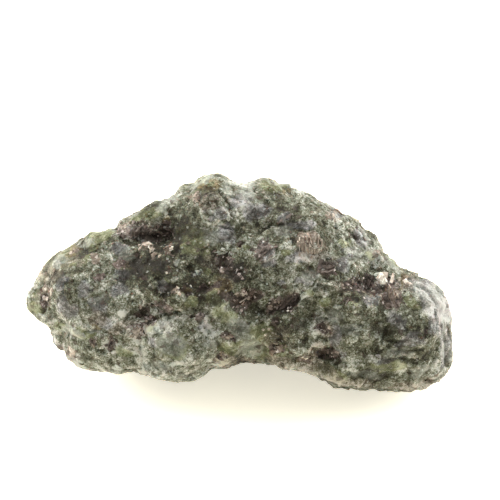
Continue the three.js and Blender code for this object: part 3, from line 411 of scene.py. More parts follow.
def setPoints(mesh, points):
    mesh.vertices.foreach_set("co", points.ravel())
    mesh.update()


# three wandering offsets for each point, between -1 and 1
def wander(points, size, shift):
    found = np.empty_like(points)
    for i, point in enumerate(points / size + shift):
        found[i] = noise.noise_vector(point)
    return found


def waver(points, size, shift):
    return np.array([noise.noise(Vector(p)) for p in points / size + shift])


# each point's mean with its neighbours, over and over
def spreadMean(mesh, values, rounds):
    edges = np.empty(len(mesh.edges) * 2, dtype=np.int64)
    mesh.edges.foreach_get("vertices", edges)
    first, second = edges.reshape(-1, 2).T
    count = np.bincount(edges, minlength=len(values)).astype(float)
    values = values.copy()
    columns = values.reshape(len(values), -1)
    for _ in range(rounds):
        for k in range(columns.shape[1]):
            summed = np.bincount(first, columns[second, k], len(count))
            summed += np.bincount(second, columns[first, k], len(count))
            columns[:, k] = 0.5 * columns[:, k] + 0.5 * summed / count
    return columns.reshape(values.shape)


# distance of each point from the middle of a turned ellipse in the picture, 1 at its rim
def ellipseGap(across, up, patch):
    x, y, halfLong, halfWide, turn = patch
    turned = math.radians(turn)
    middleAcross, middleUp = (x * pixel, -y * pixel)
    du, dv = across - middleAcross, up - middleUp
    along = (du * math.cos(turned) + dv * math.sin(turned)) / (halfLong * mm)
    aside = (dv * math.cos(turned) - du * math.sin(turned)) / (halfWide * mm)
    return np.hypot(along, aside)


# distance of each point from a line of pixels
def lineGap(across, up, line):
    gap = np.full(len(across), 1.0)
    for (x0, y0), (x1, y1) in zip(line, line[1:]):
        start = np.array([x0 * pixel, -y0 * pixel])
        step = np.array([x1 * pixel, -y1 * pixel]) - start
        du, dv = across - start[0], up - start[1]
        share = np.clip((du * step[0] + dv * step[1]) / (step @ step), 0, 1)
        gap = np.minimum(gap, np.hypot(du - share * step[0], dv - share * step[1]))
    return gap


# how much of each kind of patch lies at each point, and how far lines and pushes move it
def patchMasks(points, normals, rng):
    across, down = pictureOf(points)
    facing = normals @ np.array(outOfFace)
    seen = smoothStep(facing, -0.1, 0.12)
    ragged = sum(wander(points, size * mm, shift) * reach * mm for size, shift, reach in stoneShape["ragged"])
    size, shift, reach = stoneShape["gentle"]
    gentle = wander(points, size * mm, shift) * reach * mm
    across, up = across * pixel, -down * pixel
    raggedAcross, raggedUp = across + ragged @ np.array(alongFace), up + ragged @ np.array(upFace)
    gentleAcross, gentleUp = across + gentle @ np.array(alongFace), up + gentle @ np.array(upFace)
    masks = {}
    for kind, patches in seenPatches.items():
        mask = np.zeros(len(points))
        for patch in patches:
            gap = ellipseGap(raggedAcross, raggedUp, patch)
            mask = np.maximum(mask, 1 - smoothStep(gap, *stoneShape["patchEdge"]))
        masks[kind] = mask * seen
    for kind, (count, least, most) in hiddenPatches.items():
        made = 0
        while made < count:
            middle = rng.randrange(len(points))
            if facing[middle] > -0.05:
                continue
            stretch = np.array([rng.uniform(0.7, 1.5) for _ in range(3)])
            away = (points + ragged - points[middle]) * stretch
            gap = np.linalg.norm(away, axis=1) / (rng.uniform(least, most) * mm)
            mask = 1 - smoothStep(gap, *stoneShape["patchEdge"])
            masks[kind] = np.maximum(masks[kind], mask * (1 - seen))
            made += 1
    push = np.zeros(len(points))
    for kind, width, depth, strength, line in seenLines:
        gap = lineGap(gentleAcross, gentleUp, line) / (width * mm)
        groove = (1 - smoothStep(gap, *stoneShape["lineEdge"])) * seen
        push -= groove * depth * mm
        masks[kind] = np.maximum(masks[kind], groove * strength)
    reach = smoothStep(facing, -0.7, -0.2)
    for *patch, rise in seenPushes:
        push += (1 - smoothStep(ellipseGap(across, up, patch), *stoneShape["pushEdge"])) * reach * rise * mm
    tone = sum(waver(points, size * mm, shift) * strength
               for size, shift, strength in stoneShape["hiddenTones"])
    tone = (tone - stoneShape["hiddenDarker"]) * (1 - seen)
    for *patch, change in seenTonesAndLight:
        gap = ellipseGap(gentleAcross, gentleUp, patch)
        tone += (1 - smoothStep(gap, *stoneShape["toneEdge"])) * seen * change
    masks["tone"] = tone
    return masks, push


# lumps with creases between them: their height and how near each point is to a crease
def lumpHeights(points, lump, rng):
    size, depth, step, tip = lump
    count = int(stoneShape["area"] / (size * size))
    picks = [rng.randrange(len(points)) for _ in range(count)]
    tree = KDTree(count)
    for i, pick in enumerate(picks):
        tree.insert(points[pick], i)
    tree.balance()
    offsets = np.array([rng.uniform(-step, step) for _ in picks]) * mm
    tips = np.array([[rng.uniform(-tip, tip) for _ in range(3)] for _ in picks])
    asked = points + wander(points, size * 0.7 * mm, size) * stoneShape["waver"] * size * mm
    owner = np.empty(len(points), dtype=int)
    gap = np.empty(len(points))
    for i, point in enumerate(asked):
        (_, first, near), (_, _, next) = tree.find_n(point, 2)
        owner[i] = first
        gap[i] = next - near
    crease = 1 - smoothStep(gap / (size * mm), 0.0, 0.45)
    crease *= np.clip(0.55 + waver(points, size * 1.6 * mm, 4.4), 0, 1)
    away = points - points[np.array(picks)[owner]]
    return offsets[owner] + np.einsum("ij,ij->i", away, tips[owner]) - crease * depth * mm, crease


def makeStone(cadStone):
    bm = bmesh.new()
    bm.from_mesh(cadStone.data)
    bmesh.ops.remove_doubles(bm, verts=bm.verts, dist=0.01 * mm)
    rough = bpy.data.meshes.new("roughStone")
    bm.to_mesh(rough)
    bm.free()
    holder = bpy.data.objects.new("roughStone", rough)
    bpy.context.scene.collection.objects.link(holder)
    remesh = holder.modifiers.new("fine grid", "REMESH")
    remesh.mode = "VOXEL"
    remesh.voxel_size = stoneShape["voxel"]
    worn = holder.modifiers.new("worn edges", "SMOOTH")
    worn.factor = 0.5
    worn.iterations = stoneShape["softening"]
    made = holder.evaluated_get(bpy.context.evaluated_depsgraph_get())
    mesh = bpy.data.meshes.new_from_object(made)
    mesh.name = "stone"
    bpy.data.objects.remove(holder)
    bpy.data.meshes.remove(rough)
    return mesh


def shapeStone(mesh, rng):
    points, normals = meshPoints(mesh), meshNormals(mesh)
    masks, push = patchMasks(points, normals, rng)
    footGap = smoothStep(points[:, 2], 0.1 * mm, stoneShape["footKept"])
    calm = np.clip(0.8 * masks["olive"] + 0.3 * masks["frost"] + 0.55 * masks["lavender"], 0, 0.8)
    height = push.copy()
    creaseShade = np.zeros(len(points))
    for lump in stoneShape["lumps"]:
        heights, crease = lumpHeights(points, lump, rng)
        height += (heights - heights.mean()) * (1 - calm)
        creaseShade = np.maximum(creaseShade, crease * (1 - calm))
    height += sum(waver(points, size * mm, shift) * most * mm for size, shift, most in stoneShape["rough"])
    for kind, depth in stoneShape["pitDepth"].items():
        height -= masks[kind] * depth * mm
    for kind, rise in stoneShape["swell"].items():
        height += masks[kind] * rise * mm
    points = points + normals * (height * footGap)[:, None]
    low, high = (np.array(corner) for corner in cadBox)
    points = np.clip(points, low, high)
    setPoints(mesh, points)
    normals = meshNormals(mesh)
    # painted shade and light from the shape: the material darkens hollows and the creases between lumps and
    # lightens ridges and rises
    near = np.einsum("ij,ij->i", points - spreadMean(mesh, points, 10), normals) / mm
    wide = np.einsum("ij,ij->i", points - spreadMean(mesh, points, 90), normals) / mm
    masks["curvature_shading"] = np.clip(0.5 + near * 4.0, 0, 1)
    masks["rise"] = np.clip(0.5 + wide * 0.9, 0, 1)
    masks["crease"] = creaseShade
    masks["shade"] = np.full(len(points), 0.5)
    for kind, mask in masks.items():
        attribute = mesh.attributes.new(kind, "FLOAT", "POINT")
        attribute.data.foreach_set("value", mask.astype(np.float32))
    mesh.polygons.foreach_set("use_smooth", np.ones(len(mesh.polygons), dtype=bool))
    return masks


# nodes of a tree, made and wired in one line each
class Wiring:
    def __init__(self, tree):
        self.tree = tree

    # inputs are values or sockets to link
    def add(self, kind, inputs=None, **settings):
        node = self.tree.nodes.new(kind)
        for name, value in settings.items():
            setattr(node, name, value)
        for key, value in (inputs or {}).items():
            socket = node.inputs[key]
            if isinstance(value, bpy.types.NodeSocket):
                self.tree.links.new(value, socket)
            else:
                socket.default_value = value
        return node

    def math(self, operation, first, second, clamp=False):
        made = self.add("ShaderNodeMath", {0: first, 1: second}, operation=operation, use_clamp=clamp)
        return made.outputs[0]

    def vector(self, operation, first, second):
        inputs = {0: first, "Scale" if operation == "SCALE" else 1: second}
        return self.add("ShaderNodeVectorMath", inputs, operation=operation).outputs[0]

    def mapped(self, value, low, high, toLow=0.0, toHigh=1.0, smooth=False):
        made = self.add("ShaderNodeMapRange", {0: value, 1: low, 2: high, 3: toLow, 4: toHigh})
        made.interpolation_type = "SMOOTHSTEP" if smooth else "LINEAR"
        return made.outputs[0]

    def blended(self, share, first, second):
        made = self.add("ShaderNodeMix", {0: share, 6: first, 7: second}, data_type="RGBA")
        return made.outputs[2]

    def ramp(self, value, stops):
        made = self.add("ShaderNodeValToRGB", {0: value})
        band = made.color_ramp
        while len(band.elements) < len(stops):
            band.elements.new(0.5)
        for element, (place, colour) in zip(band.elements, stops):
            element.position = place
            element.color = (*colour, 1)
        return made.outputs[0]

    def attribute(self, name):
        return self.add("ShaderNodeAttribute", attribute_name=name).outputs["Fac"]


def newGroup(name, inputs, outputs):
    tree = bpy.data.node_groups.new(name, "ShaderNodeTree")
    for socketName, kind, value in inputs:
        socket = tree.interface.new_socket(socketName, in_out="INPUT", socket_type=kind)
        if value is not None:
            socket.default_value = value
    for socketName, kind in outputs:
        tree.interface.new_socket(socketName, in_out="OUTPUT", socket_type=kind)
    wires = Wiring(tree)
    return tree, wires, wires.add("NodeGroupInput").outputs, wires.add("NodeGroupOutput").inputs


# crystal grains: each cell has two tones of its own
def grainGroup():
    inputs = [
        ("Place", "NodeSocketVector", None),
        ("Size", "NodeSocketFloat", 0.5),
    ]
    outputs = [("Tone", "NodeSocketFloat"), ("Other Tone", "NodeSocketFloat")]
    tree, wires, given, out = newGroup("crystal grain", inputs, outputs)
    scale = wires.math("DIVIDE", 1.0, given["Size"])
    coarse = wires.math("MULTIPLY", scale, 1.3)
    bent = wires.add("ShaderNodeTexNoise", {"Vector": given["Place"], "Scale": coarse})
    bend = wires.vector("SUBTRACT", bent.outputs["Color"], (0.5, 0.5, 0.5))
    place = wires.vector("ADD", given["Place"], wires.vector("SCALE", bend, given["Size"]))
    cells = wires.add("ShaderNodeTexVoronoi", {"Vector": place, "Scale": scale})
    split = wires.add("ShaderNodeSeparateColor", {0: cells.outputs["Color"]})
    wires.tree.links.new(split.outputs[0], out["Tone"])
    wires.tree.links.new(split.outputs[1], out["Other Tone"])
    return tree


# cloudy variation, from 0 to 1
def mottleGroup():
    inputs = [
        ("Place", "NodeSocketVector", None),
        ("Size", "NodeSocketFloat", 2.0),
        ("Detail", "NodeSocketFloat", 4.0),
        ("Contrast", "NodeSocketFloat", 1.0),
    ]
    tree, wires, given, out = newGroup("mottle", inputs, [("Value", "NodeSocketFloat")])
    scale = wires.math("DIVIDE", 1.0, given["Size"])
    cloudInputs = {"Vector": given["Place"], "Scale": scale, "Detail": given["Detail"], "Roughness": 0.6}
    cloud = wires.add("ShaderNodeTexNoise", cloudInputs)
    value = wires.math("SUBTRACT", cloud.outputs["Fac"], 0.5)
    value = wires.math("MULTIPLY", value, given["Contrast"])
    wires.tree.links.new(wires.math("ADD", value, 0.5, clamp=True), out["Value"])
    return tree


# felted scales: bundles that each have a tone and fibres that run their own way
def feltGroup():
    inputs = [
        ("Place", "NodeSocketVector", None),
        ("Bundle", "NodeSocketFloat", 1.6),
        ("Fibre", "NodeSocketFloat", 0.2),
        ("Contrast", "NodeSocketFloat", 1.0),
    ]
    outputs = [("Fibres", "NodeSocketFloat"), ("Tone", "NodeSocketFloat"), ("Edge", "NodeSocketFloat")]
    tree, wires, given, out = newGroup("felt", inputs, outputs)
    scale = wires.math("DIVIDE", 1.0, given["Bundle"])
    coarse = wires.math("MULTIPLY", scale, 1.7)
    bent = wires.add("ShaderNodeTexNoise", {"Vector": given["Place"], "Scale": coarse, "Detail": 3.0})
    bend = wires.vector("SUBTRACT", bent.outputs["Color"], (0.5, 0.5, 0.5))
    bend = wires.vector("SCALE", wires.vector("SCALE", bend, given["Bundle"]), 1.6)
    place = wires.vector("ADD", given["Place"], bend)
    cells = wires.add("ShaderNodeTexVoronoi", {"Vector": place, "Scale": scale, "Smoothness": 0.25},
                      feature="SMOOTH_F1")
    turns = wires.vector("SCALE", cells.outputs["Color"], 6.28)
    turned = wires.add("ShaderNodeVectorRotate", {"Vector": place, "Rotation": turns},
                       rotation_type="EULER_XYZ")
    thin = wires.vector("MULTIPLY", turned.outputs[0], (1.0, 0.7, 0.22))
    fineness = wires.math("DIVIDE", 1.0, given["Fibre"])
    fibreInputs = {"Vector": thin, "Scale": fineness, "Detail": 2.0, "Roughness": 0.7}
    fibres = wires.add("ShaderNodeTexNoise", fibreInputs)
    value = wires.math("MULTIPLY", wires.math("SUBTRACT", fibres.outputs["Fac"], 0.5), given["Contrast"])
    wires.tree.links.new(wires.math("ADD", value, 0.5, clamp=True), out["Fibres"])
    split = wires.add("ShaderNodeSeparateColor", {0: cells.outputs["Color"]})
    wires.tree.links.new(split.outputs[1], out["Tone"])
    wires.tree.links.new(cells.outputs["Distance"], out["Edge"])
    return tree


feltTree = feltGroup()
grainTree = grainGroup()
mottleTree = mottleGroup()


def newMaterial(name, roughness, specular, subsurface=0.0, sheen=0.0):
    material = bpy.data.materials.new(name)
    material.use_nodes = True
    wires = Wiring(material.node_tree)
    shader = material.node_tree.nodes["Principled BSDF"]
    shader.inputs["Roughness"].default_value = roughness
    shader.inputs["Specular IOR Level"].default_value = specular
    shader.inputs["Sheen Weight"].default_value = sheen
    shader.inputs["Sheen Roughness"].default_value = 0.4
    if subsurface:
        shader.inputs["Subsurface Weight"].default_value = subsurface
        shader.inputs["Subsurface Scale"].default_value = 0.5 * mm
    coordinates = wires.add("ShaderNodeTexCoord").outputs["Object"]
    place = wires.add("ShaderNodeMapping", {"Vector": coordinates, "Scale": (1000, 1000, 1000)}).outputs[0]
    return material, wires, shader, place


def grain(wires, place, size):
    return wires.add("ShaderNodeGroup", {"Place": place, "Size": size}, node_tree=grainTree).outputs


def mottle(wires, place, size, detail, contrast):
    inputs = {"Place": place, "Size": size, "Detail": detail, "Contrast": contrast}
    return wires.add("ShaderNodeGroup", inputs, node_tree=mottleTree).outputs["Value"]


def felt(wires, place, bundle, fibre, contrast):
    inputs = {"Place": place, "Bundle": bundle, "Fibre": fibre, "Contrast": contrast}
    return wires.add("ShaderNodeGroup", inputs, node_tree=feltTree).outputs


stoneColours = {
    "green": [
        (0.00, (0.008, 0.006, 0.002)),
        (0.25, (0.028, 0.027, 0.013)),
        (0.45, (0.071, 0.073, 0.045)),
        (0.62, (0.130, 0.135, 0.096)),
        (0.80, (0.226, 0.231, 0.186)),
        (1.00, (0.455, 0.458, 0.405)),
    ],
    "olive": [(0.0, (0.016, 0.016, 0.004)), (0.5, (0.092, 0.098, 0.042)), (1.0, (0.275, 0.290, 0.170))],
    "lavender": [(0.0, (0.014, 0.012, 0.010)), (0.5, (0.098, 0.095, 0.093)), (1.0, (0.425, 0.412, 0.412))],
    "mica": [(0.0, (0.009, 0.005, 0.002)), (0.35, (0.024, 0.016, 0.010)), (0.62, (0.072, 0.053, 0.044)),
             (0.85, (0.155, 0.122, 0.106)), (1.0, (0.320, 0.262, 0.236))],
    "pale": [(0.0, (0.050, 0.038, 0.028)), (0.45, (0.160, 0.128, 0.098)), (1.0, (0.400, 0.352, 0.290))],
    "frost": [(0.0, (0.090, 0.095, 0.072)), (1.0, (0.385, 0.394, 0.350))],
    "earth": [(0.0, (0.010, 0.007, 0.003)), (0.5, (0.104, 0.090, 0.066)), (1.0, (0.430, 0.385, 0.325))],
    "rust": [(0.0, (0.024, 0.014, 0.004)), (0.5, (0.120, 0.092, 0.044)), (1.0, (0.330, 0.290, 0.170))],
}


# how ragged each mineral's patches are, how soft their edge is and how much of the green they hide
mineralCover = {
    "olive": (0.5, 0.4, 0.75),
    "lavender": (0.6, 0.5, 0.75),
    "earth": (0.5, 0.5, 0.65),
    "frost": (0.5, 0.5, 0.55),
    "rust": (0.5, 0.4, 0.7),
    "mica": (0.75, 0.06, 0.92),
    "pale": (0.8, 0.08, 0.9),
}


def stoneMaterial():
    material, wires, shader, place = newMaterial("delessite", 0.6, 0.16, subsurface=0.12, sheen=0.03)
    flakes, specks = grain(wires, place, 0.55), grain(wires, place, 0.26)
    scales, threads = felt(wires, place, 2.2, 0.30, 1.5), felt(wires, place, 0.9, 0.15, 1.6)
    clouds, patches = mottle(wires, place, 3.6, 4.0, 1.5), mottle(wires, place, 0.9, 3.0, 1.6)
    dust = mottle(wires, place, 0.17, 2.0, 2.0)

    # a broad tone from clouds, bundles and painted shade and light from the shape, a fine one from fibres and
    # grains, then the minerals
    def weighed(tone, parts):
        for value, weight in parts:
            tone = wires.math("ADD", tone, wires.math("MULTIPLY", wires.math("SUBTRACT", value, 0.5), weight))
        return tone

    broad = weighed(wires.attribute("tone"), [
        (clouds, 0.26), (patches, 0.42), (scales["Tone"], 0.14), (flakes["Tone"], 0.18),
        (wires.attribute("shade"), 0.36), (wires.attribute("curvature_shading"), 0.40), (wires.attribute("rise"), 0.20)])
    # painted shade in the creases between lumps
    broad = wires.math("SUBTRACT", broad, wires.math("MULTIPLY", wires.attribute("crease"), 0.14))
    broad = wires.math("ADD", broad, 0.54)
    fine = weighed(0.0, [(scales["Fibres"], 0.24), (threads["Fibres"], 0.38), (threads["Tone"], 0.08),
                         (dust, 0.60), (specks["Tone"], 0.30)])
    tone = wires.math("ADD", broad, fine, clamp=True)
    calm = wires.math("ADD", broad, wires.math("MULTIPLY", fine, 0.75), clamp=True)
    colour = wires.ramp(tone, stoneColours["green"])
    cellTone = weighed(0.5, [(specks["Other Tone"], 0.35), (flakes["Other Tone"], 0.65)])
    cellTone = wires.math("ADD", cellTone, wires.math("MULTIPLY", wires.attribute("tone"), 0.4), clamp=True)

    # a mineral shows where its mask is above an edge that grain makes ragged
    def overlay(colour, kind, edge, tones):
        spread, soft, strength = mineralCover[kind]
        above = wires.math("SUBTRACT", wires.attribute(kind), wires.math("MULTIPLY", edge, spread))
        share = wires.math("MULTIPLY", wires.mapped(above, 0.08, 0.08 + soft, smooth=True), strength)
        return wires.blended(share, colour, wires.ramp(tones, stoneColours[kind])), share

    colour, oliveShare = overlay(colour, "olive", patches, calm)
    colour, _ = overlay(colour, "lavender", scales["Fibres"], calm)
    colour, _ = overlay(colour, "earth", threads["Fibres"], tone)
    colour, _ = overlay(colour, "frost", dust, tone)
    colour, _ = overlay(colour, "rust", patches, tone)
    colour, micaShare = overlay(colour, "mica", flakes["Tone"], cellTone)
    colour, _ = overlay(colour, "pale", flakes["Other Tone"], cellTone)
    # painted shade: near black where holes, cracks, pits and the lower edge hold shade
    shade = wires.math("MULTIPLY", wires.attribute("painted_shade"), wires.mapped(patches, 0.15, 0.55))
    colour = wires.blended(wires.math("MULTIPLY", shade, 0.70), colour, (0.010, 0.007, 0.003, 1))

    # pale specks painted on as glints, with a lower roughness, and stray brown grains
    spark = wires.mapped(specks["Other Tone"], 0.975, 0.985)
    colour = wires.blended(wires.math("MULTIPLY", spark, 0.5), colour, (0.33, 0.33, 0.29, 1))
    fleck = wires.mapped(flakes["Other Tone"], 0.98, 0.985)
    colour = wires.blended(wires.math("MULTIPLY", fleck, 0.6), colour, (0.050, 0.034, 0.026, 1))
    wires.tree.links.new(colour, shader.inputs["Base Color"])

    rough = wires.mapped(flakes["Tone"], 0.0, 1.0, 0.5, 0.8)
    rough = wires.math("SUBTRACT", rough, wires.math("MULTIPLY", spark, 0.3))
    rough = wires.math("SUBTRACT", rough, wires.math("MULTIPLY", oliveShare, 0.1))
    rough = wires.math("SUBTRACT", rough, wires.math("MULTIPLY", micaShare, 0.2), clamp=True)
    wires.tree.links.new(rough, shader.inputs["Roughness"])

    bumpy = wires.math("MULTIPLY", dust, 0.08)
    for value, weight in ((threads["Fibres"], 0.09), (scales["Fibres"], 0.09), (threads["Edge"], -0.10),
                          (scales["Edge"], -0.16), (patches, 0.10)):
        bumpy = wires.math("ADD", bumpy, wires.math("MULTIPLY", value, weight))
    sheets = wires.math("MULTIPLY", flakes["Other Tone"], micaShare)
    bumpy = wires.math("ADD", bumpy, wires.math("MULTIPLY", sheets, 0.12))
    bump = wires.add("ShaderNodeBump", {"Height": bumpy, "Distance": mm, "Strength": 0.8})
    wires.tree.links.new(bump.outputs[0], shader.inputs["Normal"])
    return material


def addPiece(name, mesh, material):
    piece = bpy.data.objects.new(name, mesh)
    bpy.context.scene.collection.objects.link(piece)
    mesh.materials.clear()
    mesh.materials.append(material)
    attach(piece, "root")
    return piece


rng = random.Random(stoneShape["seed"])
noise.seed_set(stoneShape["wanderSeed"])
stoneMesh = makeStone(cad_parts["delessite_stone"])
print("stone grid:", len(stoneMesh.vertices), "points")
stoneMasks = shapeStone(stoneMesh, rng)
stone = addPiece("stone", stoneMesh, stoneMaterial())
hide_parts("delessite_stone")
print("stone shaped")

flakeLooks = {
    "chlorite": {
        "count": 6500, "leastMask": 0.0, "radius": (0.14, 0.50), "stretch": (1.0, 2.0),
        "thickness": (0.08, 0.20), "tilt": 0.26, "stray": 0.25,
        "sunk": (-0.12, -0.03), "rise": 0.09, "seed": 20,
    },
    "mica": {
        "count": 1800, "leastMask": 0.30, "radius": (0.08, 0.30), "stretch": (1.0, 1.9),
        "thickness": (0.03, 0.07), "tilt": 0.8, "stray": 0.40,
        "sunk": (-0.10, 0.05), "rise": 0.16, "seed": 21,
    },
    "pale": {
        "count": 360, "leastMask": 0.35, "radius": (0.08, 0.32), "stretch": (1.0, 1.8),
        "thickness": (0.04, 0.10), "tilt": 0.8, "stray": 0.45,
        "sunk": (-0.10, 0.03), "rise": 0.14, "seed": 22,
    },
}
flakeBatch = 60        # flakes made in one small mesh before it is joined on
undersideDepth = 0.14  # mm that a crystal's underside lies below what its top may reach

# books of mica seen on edge: kind, pixel, turn of the stripes, plates, their length and step in mm, tone
books = [
    ("pale", (304, 243), 97, 13, 1.6, 0.13, 0.7), ("pale", (316, 241), 84, 13, 1.4, 0.13, 0.66),
    ("pale", (310, 251), 90, 13, 1, 0.13, 0.64), ("mica", (267, 246), 52, 9, 1.5, 0.2, 0.55),
    ("mica", (261, 256), 40, 7, 1.2, 0.18, 0.5), ("pale", (382, 279), 80, 2, 2.3, 1, 0.84),
    ("pale", (391, 292), 100, 9, 1.5, 0.17, 0.52), ("mica", (395, 303), 115, 7, 1.1, 0.16, 0.52),
    ("mica", (326, 268), 25, 7, 1.5, 0.17, 0.42), ("mica", (284, 303), 42, 8, 1.9, 0.14, 0.42),
    ("mica", (366, 284), 70, 8, 0.9, 0.15, 0.38), ("mica", (150, 232), 62, 9, 1, 0.18, 0.4),
    ("mica", (135, 231), 75, 7, 1, 0.17, 0.55), ("pale", (244, 300), 30, 6, 1.1, 0.15, 0.6),
    ("mica", (228, 262), 65, 7, 1.1, 0.17, 0.34), ("pale", (338, 212), 150, 7, 1.2, 0.16, 0.5),
    ("pale", (138, 330), 60, 7, 1.2, 0.15, 0.7), ("mica", (326, 357), 75, 8, 0.8, 0.16, 0.45),
    ("pale", (406, 280), 60, 5, 0.9, 0.16, 0.8),
]
bookLook = {
    "rise": 0.18,              # mm that a plate may stand out
    "length": (0.25, 0.9),     # shares of the length and step given
    "step": (0.35, 0.9),
    "height": (0.20, 0.50),
    "sunk": (-0.16, 0.0),
    "lean": [("X", 0.5), ("Z", 0.2), ("Y", 0.15)],
    "shades": 0.25,            # lighter or darker than the tone given
}

